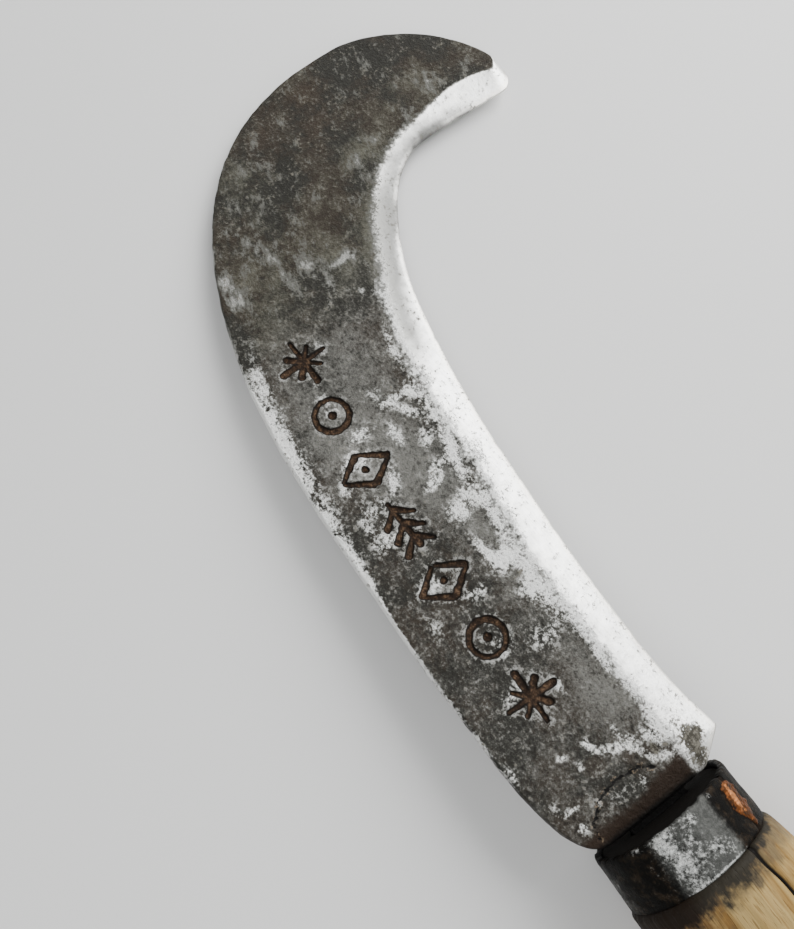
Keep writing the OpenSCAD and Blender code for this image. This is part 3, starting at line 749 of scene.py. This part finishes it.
# Sections between two named ones follow a cosine, but the first swells straight out of the ferrule
def gripSections(distance):
    f = handleForm
    named = np.array([f["neck"], f["belly"], f["waist"], f["pommel"]], float)
    sag, wide, thick = (np.empty_like(distance) for _ in range(3))
    for i in range(3):
        a, b = named[i], named[i + 1]
        here = (distance >= a[0]) & (distance <= b[0] + 1e-6)
        share = (distance[here] - a[0]) / (b[0] - a[0])
        move = np.sin(share * np.pi / 2) if i == 0 else (1 - np.cos(share * np.pi)) / 2
        for target, k in ((sag, 1), (wide, 2), (thick, 3)):
            target[here] = a[k] + (b[k] - a[k]) * move
    end = distance > named[3, 0]
    lean = np.arcsin(np.clip((distance[end] - named[3, 0]) / f["buttBack"], 0, 1))
    size = f["buttShare"] + (1 - f["buttShare"]) * np.cos(lean)
    for target, k in ((sag, 1), (wide, 2), (thick, 3)):
        target[end] = named[3, k] * size
    return sag, wide, thick


# The wood is a ring of sections: the turned seat under the ferrule, the carved grip, the butt's face and
# the walls of the tang's hole, whose loops are ovals outside and the tang's own section inside. A point of
# the grip is (-distance, -width sin(turn) - sag, thickness cos(turn)), moved along its normal by the flats,
# the grain, the rounding at the neck and the splits.
def carveHandle():
    f, b = handleForm, bladeForm
    count = 288
    turn = np.arange(count) / count * 2 * np.pi     # from the top towards the cutting edge
    seat = np.linspace(f["recess"] + 0.4, f["seatEnd"] - 0.1, 16)
    grip = spread([f["seatEnd"], 30, f["pommel"][0]], [44, 170])
    dome = f["length"] - f["buttBack"] + f["buttBack"] * np.sin(np.radians(np.linspace(4, 90, 26)))
    outer = np.concatenate([grip, dome])
    sag, wide, thick = gripSections(outer)
    sine, cosine = np.sin(turn), np.cos(turn)
    surface = pointGrid(-outer[:, None], -wide[:, None] * sine - sag[:, None], thick[:, None] * cosine)
    normal = pointGrid(0 * outer[:, None], -sine / wide[:, None], cosine / thick[:, None])
    normal = normal / np.linalg.norm(normal, axis=-1, keepdims=True)

    # carved flats wander along the grip, at |cos| less about its mean, the neck's rim is rounded over, and
    # splits open along the grain
    wander = 0.5 * np.sin(outer / 23) + 0.35 * np.sin(outer / 11 + 1)
    phase = f["facets"] * turn[None, :] / 2 + wander[:, None]
    flats = f["facetDepth"] * (np.abs(np.cos(phase)) - 0.64) * ease(outer, 18, 30)[:, None]
    flats = flats * (1 - ease(outer, 124, 136))[:, None]
    carved = -flats + 0.14 * swell(surface * (0.35, 1, 1), 13, 91) * ease(outer, 14, 22)[:, None]
    stretched = surface * (0.08, 1, 1)
    grain = 0.035 * swell(stretched, 1.4, 92) + 0.05 * swell(stretched, 3.2, 93)
    rounding = -f["neckRound"] * np.clip(1 - (outer - f["seatEnd"]) / f["neckRun"], 0, 1)[:, None] ** 2
    flatMap = pointGrid(outer[:, None], np.degrees(turn)[None, :] * f["perDegree"])
    flatMap = flatMap + 0.25 * np.stack([0 * surface[..., 0], swell(flatMap * (0.3, 1), 5, 94)], -1)
    split, rear = (lineDistance(flatMap, [(x, (angle % 360) * f["perDegree"]) for x, angle in line])
                   for line in (f["split"], f["rearSplit"]))
    splitWide = f["splitHalf"] * (1 - 0.75 * ease(outer, 30, 58))[:, None]
    groove = -f["splitDepth"] * hump(split, splitWide) - f["rearDepth"] * hump(rear, f["rearHalf"])
    groove = groove + f["splitLip"] * hump(split - f["splitLipAt"], f["splitLipHalf"])
    surface = surface + normal * (carved + grain + rounding + groove)[..., None]
    hollow = np.where(outer > f["length"] - 0.1, 0.25, 0)[:, None]
    surface[..., 0] += hollow * (1 + swell(surface[..., 1:], 6, 95))

    seatLoop = pointGrid(-seat[:, None], -f["seatRadius"] * sine, f["seatRadius"] * cosine)
    frontRadius = f["seatRadius"] - 0.5
    front = pointGrid(-f["recess"], -frontRadius * sine, frontRadius * cosine)[None]

    # hole for the tang: a rounded rectangle met by each ray from the middle
    low, high = -b["heelThick"] / 2 + b["tangStep"], b["heelThick"] / 2 - 2
    middle = (low + high) / 2

    def hole(distance):
        share = (distance + b["shoulderGap"]) / (b["tangLength"] + b["shoulderGap"])
        half = b["tangHalf"] + (b["tangEndHalf"] - b["tangHalf"]) * share + f["tangClear"]
        tall = (high - low) / 2 + f["tangClear"]
        reach = (np.abs(sine / half) ** 8 + np.abs(cosine / tall) ** 8) ** (-1 / 8)
        return pointGrid(-distance, -reach * sine, middle + reach * cosine)

    inside = np.array([hole(d) for d in np.linspace(f["length"] - 0.3, f["recess"] + 0.2, 22)])
    mix = np.linspace(0.08, 0.92, 9)[:, None, None]
    buttFace = surface[-1] + (inside[0] - surface[-1]) * mix
    frontFace = inside[-1] + (front[0] - inside[-1]) * mix
    grid = np.concatenate([front, seatLoop, surface, buttFace, inside, frontFace])
    start = 1 + len(seatLoop)

    # Field over the whole piece: the given values on the grip and one number elsewhere
    def placed(values, fill):
        whole = np.full((len(grid), count), float(fill))
        whole[start:start + len(outer)] = values
        return whole

    signed = np.broadcast_to((np.degrees(turn) + 180) % 360 - 180, (len(outer), count))
    behind = outer[:, None] + 0 * signed
    fields = {
        "turn": np.broadcast_to(signed[0], (len(grid), count)),
        "split": placed(np.minimum(split, rear + 0.12), 9),
        "behind": placed(behind, 0),
        "smudged": placed(patches(np.stack([signed, behind], -1), f["smudges"]), 0),
    }
    fields["behind"][start + len(outer):start + len(outer) + len(buttFace)] = f["length"]
    return loftMesh("carvedHandle", grid, fields, ring=True)


handle = carveHandle()
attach(handle, "root")
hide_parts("handle")


# Washer

washerForm = {"radius": 10, "thick": 1.8, "hole": 4.25, "round": 0.35}


# A ring whose section's loop is (outer rim, rear face, hole, front face), with rounded corners and a
# hammered rear face, carried round the axis: a point is (-depth, -radius sin(turn), radius cos(turn))
def punchWasher():
    f = washerForm
    turns = np.arange(144) / 144 * 2 * np.pi
    r, t, h, s = f["radius"], f["thick"], f["hole"], f["round"]
    profile = [(r, 0.3), (r, t - s), (r - s, t)] + [(r - s - k, t) for k in (0.7, 1.6, 2.6, 3.6, 4.6)]
    profile += [(h + 0.3, t), (h, t - 0.3), (h, 0.3), (h + 0.3, 0), (r - 2, 0), (r - 0.3, 0)]
    radius, depth = np.array(profile).T
    turn, radius = np.meshgrid(turns, radius, indexing="ij")
    depth = np.broadcast_to(depth, radius.shape)
    radius = radius * (1 + 0.012 * np.sin(3 * turn + 1) * (radius > h + 1))
    y, z = -radius * np.sin(turn), radius * np.cos(turn)
    flatMap = np.stack([y, z], -1)
    x = -handleForm["length"] - depth - 0.08 * swell(flatMap, 5, 99) * (depth > 1)
    grid = np.stack([x, y, z], -1)
    fields = {
        "lit": 0.45 + 0.35 * swell(grid, 8, 101),
        "worn": 0.35 * hump(radius - r, 0.8) + 0.15 * swell(grid, 5, 102),
        "depth": np.zeros_like(radius),
    }
    return loftMesh("tangWasher", grid, fields, ring=True)


washer = punchWasher()
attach(washer, "root")
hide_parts("tang_washer")
print("pieces made")


# Materials

# One output socket that stands in an expression: each operator adds a Math node to its tree
class Wire:
    def __init__(self, bench, socket):
        self.bench, self.socket = bench, socket

    def math(self, operation, *values):
        return self.bench.add("ShaderNodeMath", {"operation": operation}, dict(enumerate(values)))

    def __add__(self, other):
        return self.math("ADD", self, other)

    def __sub__(self, other):
        return self.math("SUBTRACT", self, other)

    def __rsub__(self, other):
        return self.math("SUBTRACT", other, self)

    def __mul__(self, other):
        return self.math("MULTIPLY", self, other)

    def __truediv__(self, other):
        return self.math("DIVIDE", self, other)

    def __neg__(self):
        return self.math("MULTIPLY", self, -1)

    __radd__ = __add__
    __rmul__ = __mul__

    def larger(self, other):
        return self.math("MAXIMUM", self, other)

    def smaller(self, other):
        return self.math("MINIMUM", self, other)


# A material's tree with one Principled shader, and one method that adds any node
class Bench:
    def __init__(self, name):
        self.material = bpy.data.materials.new(name)
        self.material.use_nodes = True
        self.tree = self.material.node_tree
        self.shader = next(n for n in self.tree.nodes if n.type == "BSDF_PRINCIPLED")

    # Links a wire to a socket, or sets the socket's own value
    def join(self, value, socket):
        if isinstance(value, Wire):
            self.tree.links.new(value.socket, socket)
        elif socket.type == "RGBA" and len(value) == 3:
            socket.default_value = (*value, 1)
        else:
            socket.default_value = value

    # Any node from its type, its settings and the values or links of its sockets, seen at one output
    def add(self, kind, settings, sockets, out=0):
        made = self.tree.nodes.new(kind)
        for key, value in settings.items():
            setattr(made, key, value)
        for key, value in sockets.items():
            self.join(value, made.inputs[key])
        return Wire(self, made.outputs[out])

    # A piece's own numbers or points, by the name that its mesh gives them
    def field(self, name):
        return self.add("ShaderNodeAttribute", {"attribute_name": name}, {}, "Fac")

    def vector(self, name):
        return self.add("ShaderNodeAttribute", {"attribute_name": name}, {}, "Vector")

    # Noise from about -0.5 to 0.5 with features about as wide as size, in the units of its place
    def noise(self, place, size, detail, roughness, shift=0, turn=0, stretch=1):
        sockets = {"Vector": place, "Location": (shift, shift * 0.7, shift * 0.4),
                   "Rotation": (0, 0, math.radians(turn)), "Scale": (stretch, 1, 1)}
        moved = self.add("ShaderNodeMapping", {"vector_type": "TEXTURE"}, sockets)
        sockets = {"Vector": moved, "Scale": 1 / size, "Detail": detail, "Roughness": roughness}
        return self.add("ShaderNodeTexNoise", {}, sockets, "Fac") - 0.5

    # 0 below low, 1 above high, smooth between
    def step(self, value, low, high):
        sockets = {"Value": value, "From Min": low, "From Max": high}
        return self.add("ShaderNodeMapRange", {"interpolation_type": "SMOOTHSTEP"}, sockets)

    # The first colour where share is 0 and the second where it is 1
    def blend(self, share, first, second):
        sockets = {0: share, 6: first, 7: second}
        return self.add("ShaderNodeMix", {"data_type": "RGBA"}, sockets, 2)

    # The first number where share is 0 and the second where it is 1
    def between(self, share, first, second):
        return self.add("ShaderNodeMix", {"data_type": "FLOAT"}, {0: share, 2: first, 3: second})

    # Bumps in metres: height in millimetres times millimetre
    def bump(self, height):
        return self.add("ShaderNodeBump", {}, {"Height": height, "Distance": millimetre, "Strength": 1})

    # Feeds the shader's sockets and dresses a piece with the material
    def finish(self, piece, **values):
        for name, value in values.items():
            self.join(value, self.shader.inputs[name.replace("_", " ")])
        piece.data.materials.clear()
        piece.data.materials.append(self.material)


steelLook = {
    "skin": (0.022, 0.021, 0.017), "brown": (0.031, 0.024, 0.017), "dulled": (0.145, 0.142, 0.128),
    "olive": (0.118, 0.115, 0.087), "fleck": (0.22, 0.22, 0.205), "deep": (0.009, 0.008, 0.006),
    "grey": (0.31, 0.31, 0.29), "bare": (0.94, 0.94, 0.91),
    "crownGrey": (0.125, 0.124, 0.110), "rubbed": (0.37, 0.37, 0.345),
    "ground": (0.93, 0.93, 0.90), "throat": (0.115, 0.115, 0.110), "honed": (0.86, 0.84, 0.78),
    "stain": (0.150, 0.140, 0.115), "stainDark": (0.034, 0.030, 0.022),
    "rust": (0.042, 0.028, 0.018), "bed": (0.052, 0.031, 0.018), "rustDark": (0.017, 0.010, 0.006),
    "rustLight": (0.130, 0.078, 0.045), "shoulder": (0.024, 0.014, 0.008), "tan": (0.21, 0.155, 0.10),
    "black": (0.004, 0.0035, 0.003), "gloss": 0.2,
    # Where each of these starts and is full, or starts to end and has ended, in millimetres
    "crownFrom": (138, 160),                          # brushed finish, along the tool
    "honedTo": (0.9, 1.5),                            # honed strip, from the edge
    "rollTo": (3.6, 6.2), "paintedShadeTo": (0.7, 2.6),      # brown roll, and painted black shade at the shoulder's end
    "haloTo": (0.1, 1.8), "burrFrom": (-0.1, 0.12), "burrTo": (0.2, 0.6),      # from a stroke's rim
    "bedTo": (-0.15, 0.08), "flankShadeFrom": (-0.62, -0.25),
    "crackTo": (0.17, 0.4), "lipFrom": (0.25, 0.45), "lipTo": (0.6, 1.1),      # from the fold's line
}
# Each noise: size in millimetres, detail, roughness, shift, turn in degrees, stretch
steelGrain = {
    "cloud": (20, 2, 0.55), "scale": (4.5, 6, 0.68, 40), "fleck": (2, 3, 0.65, 90), "grit": (0.9, 4, 0.8, 20),
    "brush": (1.8, 5, 0.7, 60, -17, 2.6), "scratch": (0.3, 2, 0.6, 10, 3, 25), "speck": (1.1, 2, 0.65, 130),
}


# Forged steel: one number for wear decides between dark skin, grey and bare metal, and the shoulder's rust
# with painted black shade at its end, the stains, the ornament and the fold lie over them
def finishBlade():
    look = steelLook
    bench = Bench("forgedSteel")
    place = bench.vector("place")
    x = bench.add("ShaderNodeSeparateXYZ", {}, {0: place}, "X")
    y = bench.add("ShaderNodeSeparateXYZ", {}, {0: place}, "Y")
    cloud, scale, fleck, grit, brush, scratch, speck = (
        bench.noise(place, *grain) for grain in steelGrain.values())

    # wear eats through the skin in a ragged way: first to grey, then to bare metal. It is full on the
    # bevel, falls off in a belt along its inner line, and stops sharply at the beak.
    crown = bench.step(x, *look["crownFrom"])
    crisp = bench.field("crisp")
    away = bench.field("bevelAway") + (scale * 9 + grit * 7) * bench.between(crisp, 1, 0.14)
    bevel = (0.9 - away / bench.between(crisp, 3, 0.5)).smaller(2.2)
    stain = bench.step(bench.field("stained") + scale * 2 + speck * 2.2 + grit * 3.4, 0.3, 0.95)
    dulled = bench.field("dulled")
    worn = bench.field("worn")
    busy = bench.between(bench.step(worn, 0, 0.4), 0.6, 1)
    plain = (scale * 3.5 + speck * 1.7 + grit * 4.2 + fleck * 1.2) * busy
    ragged = bench.between(crown, plain, brush * 3 + scale * 3 + grit * 1.4 + dulled * 0.4 - 0.15)
    wear = worn * bench.between(crown, 1.3, 1.1) - 0.15 - bench.step(bench.field("pitted"), 0.2, 0.8) * 0.4
    mark = bench.field("mark")
    halo = (1 - bench.step(mark, *look["haloTo"])) * 0.4
    wear = (wear + halo + ragged).larger(bevel + speck * 2 + grit * 2.4 + fleck)
    toGrey = bench.step(wear, bench.between(crown, 0.15, 0), 0.55)
    toBare = bench.step(wear, 0.58, bench.between(crown, 0.84, 1.05))
    ground = bench.step(bevel, 0.8, 1.5)

    # dark skin of scale and old oil, dulled to grey where it was handled most
    lift = dulled + (1 - crown) * 0.12 + cloud * bench.between(crown, 0.5, 0.9) + scale * 1.5 + grit * 1.4
    skin = bench.blend(bench.step(cloud + fleck * 0.5, -0.1, 0.12), look["skin"], look["brown"])
    skin = bench.blend(bench.step(lift, -0.1, 1), skin, bench.blend(crown, look["dulled"], look["olive"]))
    rusty = bench.step(bench.field("rusted") + scale * 1.2 + fleck * 0.5, 0.35, 1)
    skin = bench.blend(rusty * 0.45, skin, look["rust"])
    coarse = 1 - crown * 0.75
    fine = speck * 0.4 + grit * 0.9 + fleck * 0.6 + scale * 0.3
    skin = bench.blend(bench.step(fine, 0.02, 0.26) * 0.65 * coarse, skin, look["fleck"])
    skin = bench.blend(bench.step(-fine, 0.02, 0.22) * 0.65 * coarse, skin, look["deep"])

    # bare metal: rubbed grey on the crown, white on the bevel, darker in the throat, stained here and there
    metal = bench.blend(crown, look["bare"], look["rubbed"])
    darkBevel = bench.step(dulled + scale * 0.5, -0.15, 0.8)
    grounded = bench.blend(darkBevel, look["ground"], look["throat"])
    upper = bench.step(bench.field("bevelAway") + scale * 4 + fleck * 3, -5, 0.5) * (1 - crisp)
    grounded = bench.blend(upper * 0.5, grounded, look["grey"])
    metal = bench.blend(ground, metal, grounded)
    metal = bench.blend(bench.step(scratch + fleck * 0.5, -0.02, 0.2) * 0.2, metal, look["fleck"])
    honed = (1 - bench.step(bench.field("edgeAway"), *look["honedTo"])) * ground * (1 - darkBevel)
    metal = bench.blend(honed, metal, look["honed"])
    colour = bench.blend(toGrey, skin, bench.blend(crown, look["grey"], look["crownGrey"]))
    colour = bench.blend(toBare, colour, metal)
    spot = bench.blend(bench.step(grit * 1.4 + fleck + speck, -0.12, 0.3), look["stainDark"], look["stain"])
    colour = bench.blend(stain, colour, spot)

    # brown roll at the shoulder above the bevel, wider below the fold, and painted black shade at its end
    above = bench.step(bench.field("bevelAway") + fleck * 2, -0.2, 1.6)
    roll = x + fleck * 2.5 + scale * 4 - bench.step(-y, -1, 6) * 1.8
    shoulder = (1 - bench.step(roll, *look["rollTo"])) * above
    colour = bench.blend(shoulder * 0.96, colour, look["shoulder"])
    # painted shade: black at the blade's end, which also covers the tang and its head
    paintedShade = (1 - bench.step(x + fleck, *look["paintedShadeTo"])) * bench.between(above, 0.25, 1)
    colour = bench.blend(paintedShade, colour, look["black"])

    # rust in the ornament; dark flanks are partly painted shade, the bright burr partly a painted highlight
    burr = bench.step(mark, *look["burrFrom"]) * (1 - bench.step(mark, *look["burrTo"]))
    burr = burr * bench.step(fleck + scale, 0.02, 0.16)
    colour = bench.blend(burr * 0.55, colour, look["grey"])
    filled = 1 - bench.step(mark, *look["bedTo"])
    bed = bench.blend(bench.step(fleck + grit, -0.15, 0.1), look["rustDark"], look["bed"])
    # lighter rust, leaning towards a stroke's middle as a partly painted highlight
    bed = bench.blend(bench.step(fleck + grit * 1.5 - mark * 0.15, 0.18, 0.4), bed, look["rustLight"])
    # painted shade: the groove's walls darken towards black
    flankShade = bench.step(mark, *look["flankShadeFrom"])
    bed = bench.blend(flankShade * 0.85, bed, look["black"])
    colour = bench.blend(filled, colour, bed)

    # the fold is a black line with a tan lip here and there, the tan partly a painted highlight
    shut = bench.field("shut")
    lip = bench.step(shut, *look["lipFrom"]) * (1 - bench.step(shut, *look["lipTo"]))
    lip = lip * bench.step(fleck + grit, 0.05, 0.15)
    colour = bench.blend(lip * 0.8, colour, look["tan"])
    crack = 1 - bench.step(shut, *look["crackTo"])
    colour = bench.blend(crack, colour, look["black"])

    # rust, stains and shade aren't metallic, and the ground bevel is the smoothest part
    solid = (1 - filled) * (1 - crack) * (1 - shoulder) * (1 - paintedShade) * (1 - stain)
    metallic = bench.between(toBare, toGrey * 0.3, bench.between(ground.larger(crown), 0.3, 0.95)) * solid
    roughness = bench.between(toBare, 0.6, 0.42) + fleck * 0.16 + filled * 0.3 + stain * 0.25
    height = scale * 0.3 + fleck * 0.1 + speck * 0.35 + grit * 0.6 - toGrey * 0.03
    height = height * (1 - ground * 0.92) + scratch * 0.012
    bench.finish(blade, Base_Color=colour, Metallic=metallic, Roughness=roughness,
                 Specular_IOR_Level=look["gloss"], Normal=bench.bump(height))


ferruleLook = {
    "steel": (0.105, 0.107, 0.100), "oiled": (0.058, 0.059, 0.055),
    "skin": (0.004, 0.0036, 0.003), "brown": (0.022, 0.015, 0.009),
    "bare": (0.80, 0.81, 0.78), "black": (0.002, 0.0018, 0.0015), "gloss": 0.05,
}
ferruleGrain = {"scale": (3, 5, 0.68, 35), "fleck": (1.3, 3, 0.65, 75), "grit": (0.7, 4, 0.78, 5)}


# Wear on the ferrule and the washer: scale first, then grey steel in the lit field, then bare metal
def finishFerrule(piece, name):
    look = ferruleLook
    bench = Bench(name)
    place = bench.vector("place")
    scale, fleck, grit = (bench.noise(place, *grain) for grain in ferruleGrain.values())
    # on the washer the lit field only varies the grey at random
    # painted light and shade: grey on the ferrule's lit top band, near-black scale on its sides partly shade
    colour = bench.blend(bench.step(scale + fleck * 0.5, -0.05, 0.2), look["skin"], look["brown"])
    lit = bench.step(bench.field("lit") + scale * 0.9 + grit * 0.8, 0.05, 0.95)
    mottled = bench.step(scale * 1.2 + fleck + grit, -0.2, 0.3)
    colour = bench.blend(lit, colour, bench.blend(mottled, look["oiled"], look["steel"]))
    worn = bench.field("worn")
    wear = worn + (scale * 1.8 + fleck + grit * 2.4) * bench.between(bench.step(worn, 0, 0.3), 0.45, 1)
    bare = bench.step(wear - bench.field("depth"), 0.2, 1.35)
    colour = bench.blend(bare, colour, look["bare"])
    pit = bench.step(-grit - fleck * 0.6, 0.04, 0.22) * lit * bench.step(worn, 0.05, 0.4)
    colour = bench.blend(pit * 0.75, colour, look["skin"])
    # painted shade: the ferrule's inner face is black, fading in over its rims
    inside = bench.step(bench.field("depth"), 0.2, 0.8)
    colour = bench.blend(inside, colour, look["black"])
    metallic = bench.between(bare, 0.4 * lit, 0.95) * (1 - inside)
    roughness = bench.between(bare, 0.5, 0.38) + fleck * 0.2
    height = fleck * 0.12 + grit * 0.2 + scale * 0.2
    bench.finish(piece, Base_Color=colour, Metallic=metallic, Roughness=roughness,
                 Specular_IOR_Level=look["gloss"], Normal=bench.bump(height))


brazeLook = {
    "copper": (0.110, 0.036, 0.010), "dull": (0.050, 0.021, 0.008), "glintCopper": (0.50, 0.20, 0.072),
    "pit": (0.008, 0.005, 0.003), "gloss": 0.06,
}
brazeGrain = {"blotch": (2.2, 3, 0.6, 12), "fleck": (0.8, 3, 0.65, 52)}


# Copper that is dull in its hollows, with a painted highlight along a streak, and dark where it runs out
def finishBraze():
    look = brazeLook
    bench = Bench("brazingMetal")
    place = bench.vector("place")
    blotch, fleck = (bench.noise(place, *grain) for grain in brazeGrain.values())
    proud = bench.field("proud") + fleck * 0.3 + blotch * 0.3
    rubbed = bench.step(proud, 0, 0.16)
    colour = bench.blend(bench.step(blotch + fleck, -0.12, 0.12), look["dull"], look["copper"])
    # painted highlight: lighter, more metallic copper along the streak
    paintedGlint = bench.step(bench.field("paintedGlint") + fleck * 1.5 + blotch * 0.5, 0.3, 0.85)
    colour = bench.blend(paintedGlint, colour, look["glintCopper"])
    colour = bench.blend(rubbed, look["pit"], colour)
    colour = bench.blend(bench.step(-fleck - blotch * 0.6, 0.12, 0.22) * 0.8, colour, look["pit"])
    roughness = bench.between(rubbed, 0.7, 0.45)
    metallic = rubbed * bench.between(paintedGlint, 0.5, 0.9)
    bench.finish(braze, Base_Color=colour, Metallic=metallic, Roughness=roughness,
                 Specular_IOR_Level=look["gloss"], Normal=bench.bump(fleck * 0.16 + blotch * 0.12))


woodLook = {
    "pale": (0.355, 0.250, 0.100), "tan": (0.235, 0.137, 0.039), "golden": (0.180, 0.094, 0.023),
    "vein": (0.095, 0.042, 0.011), "grey": (0.070, 0.055, 0.036), "stain": (0.019, 0.017, 0.013),
    "burnt": (0.010, 0.006, 0.0035), "amber": (0.100, 0.040, 0.009), "black": (0.004, 0.003, 0.002),
    "gloss": 0.12,
    # Where each of these starts and is full, or starts to end and has ended
    "recessShadeTo": (4, 13), "stainTo": (15.8, 18.4), "smokeTo": (16.8, 21),      # behind the front face
    "amberTo": (20, 32), "greaseFrom": (24, 60), "buttFrom": (133, 141),
    "stainAndShadeSideTo": (-32, -16),                             # turn in degrees
    "splitTo": (0.25, 0.6), "poreFrom": (0.1, 0.22),
}
woodGrain = {
    "cloud": (16, 2, 0.55, 8, 0, 3), "figure": (3, 3, 0.6, 28, 0, 12), "fibre": (0.7, 3, 0.65, 48, 0, 26),
    "pore": (0.38, 1, 0.5, 68, 0, 12), "speck": (1.8, 3, 0.7, 88, 0, 1.6), "smear": (4.5, 3, 0.6, 108),
}


# Pale wood with darker figure, fibre and pores along the grip, grease, burnt ends and painted shade near the
# ferrule
def finishHandle():
    look = woodLook
    bench = Bench("handleWood")
    place = bench.vector("place")
    behind = bench.field("behind")
    turn = bench.field("turn")
    cloud, figure, fibre, pore, speck, smear = (bench.noise(place, *grain) for grain in woodGrain.values())
    colour = bench.blend(bench.step(cloud + figure * 0.5, -0.12, 0.16), look["pale"], look["tan"])
    colour = bench.blend(bench.step(figure + fibre * 0.4, -0.04, 0.16) * 0.65, colour, look["golden"])
    colour = bench.blend(bench.step(figure * 1.2 + fibre * 0.5, 0.09, 0.22) * 0.32, colour, look["vein"])
    colour = bench.blend(bench.step(pore, *look["poreFrom"]) * 0.45, colour, look["vein"])
    # hand grease and dirt on the belly, burnt and iron-stained wood at the ferrule and at the butt
    grease = bench.step(cloud + figure * 0.6, 0, 0.3) * bench.step(behind, *look["greaseFrom"])
    colour = bench.blend(grease * 0.4, colour, look["vein"])
    near = behind + speck * 5 + smear * 8 + figure * 4
    # on the spine side by the ferrule the wood is amber and the stain black and longer: partly stain, partly
    # painted shade
    stainAndShadeSide = 1 - bench.step(turn + speck * 14, *look["stainAndShadeSideTo"])
    amber = stainAndShadeSide * (1 - bench.step(near, *look["amberTo"]))
    colour = bench.blend(amber * 0.75, colour, look["amber"])
    smudge = bench.step(bench.field("smudged") + smear * 1.6 + figure + fibre * 0.8, 0.15, 0.85)
    smoke = (1 - bench.step(near, *look["smokeTo"])) * 0.7
    colour = bench.blend(smoke.larger(smudge * 0.85), colour, look["grey"])
    edge = near - bench.step(-turn, 8, 36) * 1.4 + bench.step(turn, 25, 27) * 1.9 - smudge * 0.8
    stain = 1 - bench.step(edge, *look["stainTo"])
    colour = bench.blend(stain * 0.96, colour, bench.blend(stainAndShadeSide, look["stain"], look["burnt"]))
    buttStain = bench.step(behind + speck * 6 + cloud * 8, *look["buttFrom"])
    colour = bench.blend(buttStain * 0.7, colour, look["burnt"])
    # painted shade: the wood inside the ferrule, its front face and the tang's hole are black
    recessShade = 1 - bench.step(behind, *look["recessShadeTo"])
    colour = bench.blend(recessShade, colour, look["black"])
    crack = 1 - bench.step(bench.field("split"), *look["splitTo"])
    colour = bench.blend(crack, colour, look["black"])
    roughness = 0.62 - grease * 0.16 + figure * 0.15 + recessShade * 0.3
    height = fibre * -0.12 - bench.step(pore, 0.08, 0.22) * 0.06 + figure * 0.1
    bench.finish(handle, Base_Color=colour, Roughness=roughness, Specular_IOR_Level=look["gloss"],
                 Normal=bench.bump(height))


finishBlade()
finishFerrule(ferrule, "ferruleSteel")
finishFerrule(washer, "washerSteel")
finishBraze()
finishHandle()
print("materials made")


# Stage, light and camera

stageLook = {
    "size": 6, "pale": (0.74, 0.74, 0.73), "roughness": 0.7,
    "air": (0.80, 0.83, 0.86), "airStrength": 0.25,
}


def setStage():
    half = stageLook["size"] / 2
    mesh = bpy.data.meshes.new("floor")
    corners = [(-half, -half, 0), (half, -half, 0), (half, half, 0), (-half, half, 0)]
    mesh.from_pydata(corners, [], [(0, 1, 2, 3)])
    floor = bpy.data.objects.new("floor", mesh)
    bpy.context.scene.collection.objects.link(floor)
    bench = Bench("paleFloor")
    bench.finish(floor, Base_Color=stageLook["pale"], Roughness=stageLook["roughness"])
    world = bpy.data.worlds.new("air")
    world.use_nodes = True
    sky = world.node_tree.nodes["Background"]
    sky.inputs["Color"].default_value = (*stageLook["air"], 1)
    sky.inputs["Strength"].default_value = stageLook["airStrength"]
    bpy.context.scene.world = world


# Soft lights: direction from the tool, distance, size across, power in watts
softLights = {
    "key": ((0.30, -0.76, 0.60), 0.9, 0.75, 17),
    "top": ((-0.25, 0.45, 0.9), 1.1, 0.8, 7),
    "fill": ((-0.9, -0.2, 0.5), 1.2, 0.8, 4),
}


def setLights():
    aim = (cadBox[0] + cadBox[1]) / 2
    for name, (direction, distance, size, power) in softLights.items():
        lamp = bpy.data.lights.new(name, "AREA")
        lamp.size, lamp.energy = size, power
        light = bpy.data.objects.new(name, lamp)
        away = Vector(direction).normalized()
        light.location = aim + away * distance
        light.rotation_euler = away.to_track_quat("Z", "Y").to_euler()
        bpy.context.scene.collection.objects.link(light)


# The camera stands almost over the throat and looks down on the cheek, a little turned
cameraForm = {
    "place": (27.36, 75.67, 236.24), "aim": (67.27, 34.77, 0),     # millimetres in the frame
    "roll": 10.21, "lens": 34.88, "sensor": 36,
    "near": 0.01, "far": 20,                                       # metres
}


def setCamera():
    f = cameraForm
    data = bpy.data.cameras.new("camera")
    data.lens, data.sensor_width = f["lens"], f["sensor"]
    data.clip_start, data.clip_end = f["near"], f["far"]
    camera = bpy.data.objects.new("camera", data)
    place, aim = Vector(f["place"]) * millimetre, Vector(f["aim"]) * millimetre
    turned = (aim - place).to_track_quat("-Z", "Y").to_matrix()
    turned = turned @ Matrix.Rotation(math.radians(f["roll"]), 3, "Z")
    camera.matrix_world = Matrix.Translation(place) @ turned.to_4x4()
    bpy.context.scene.collection.objects.link(camera)
    bpy.context.scene.camera = camera


setStage()
setLights()
setCamera()
print("stage, lights and camera set")
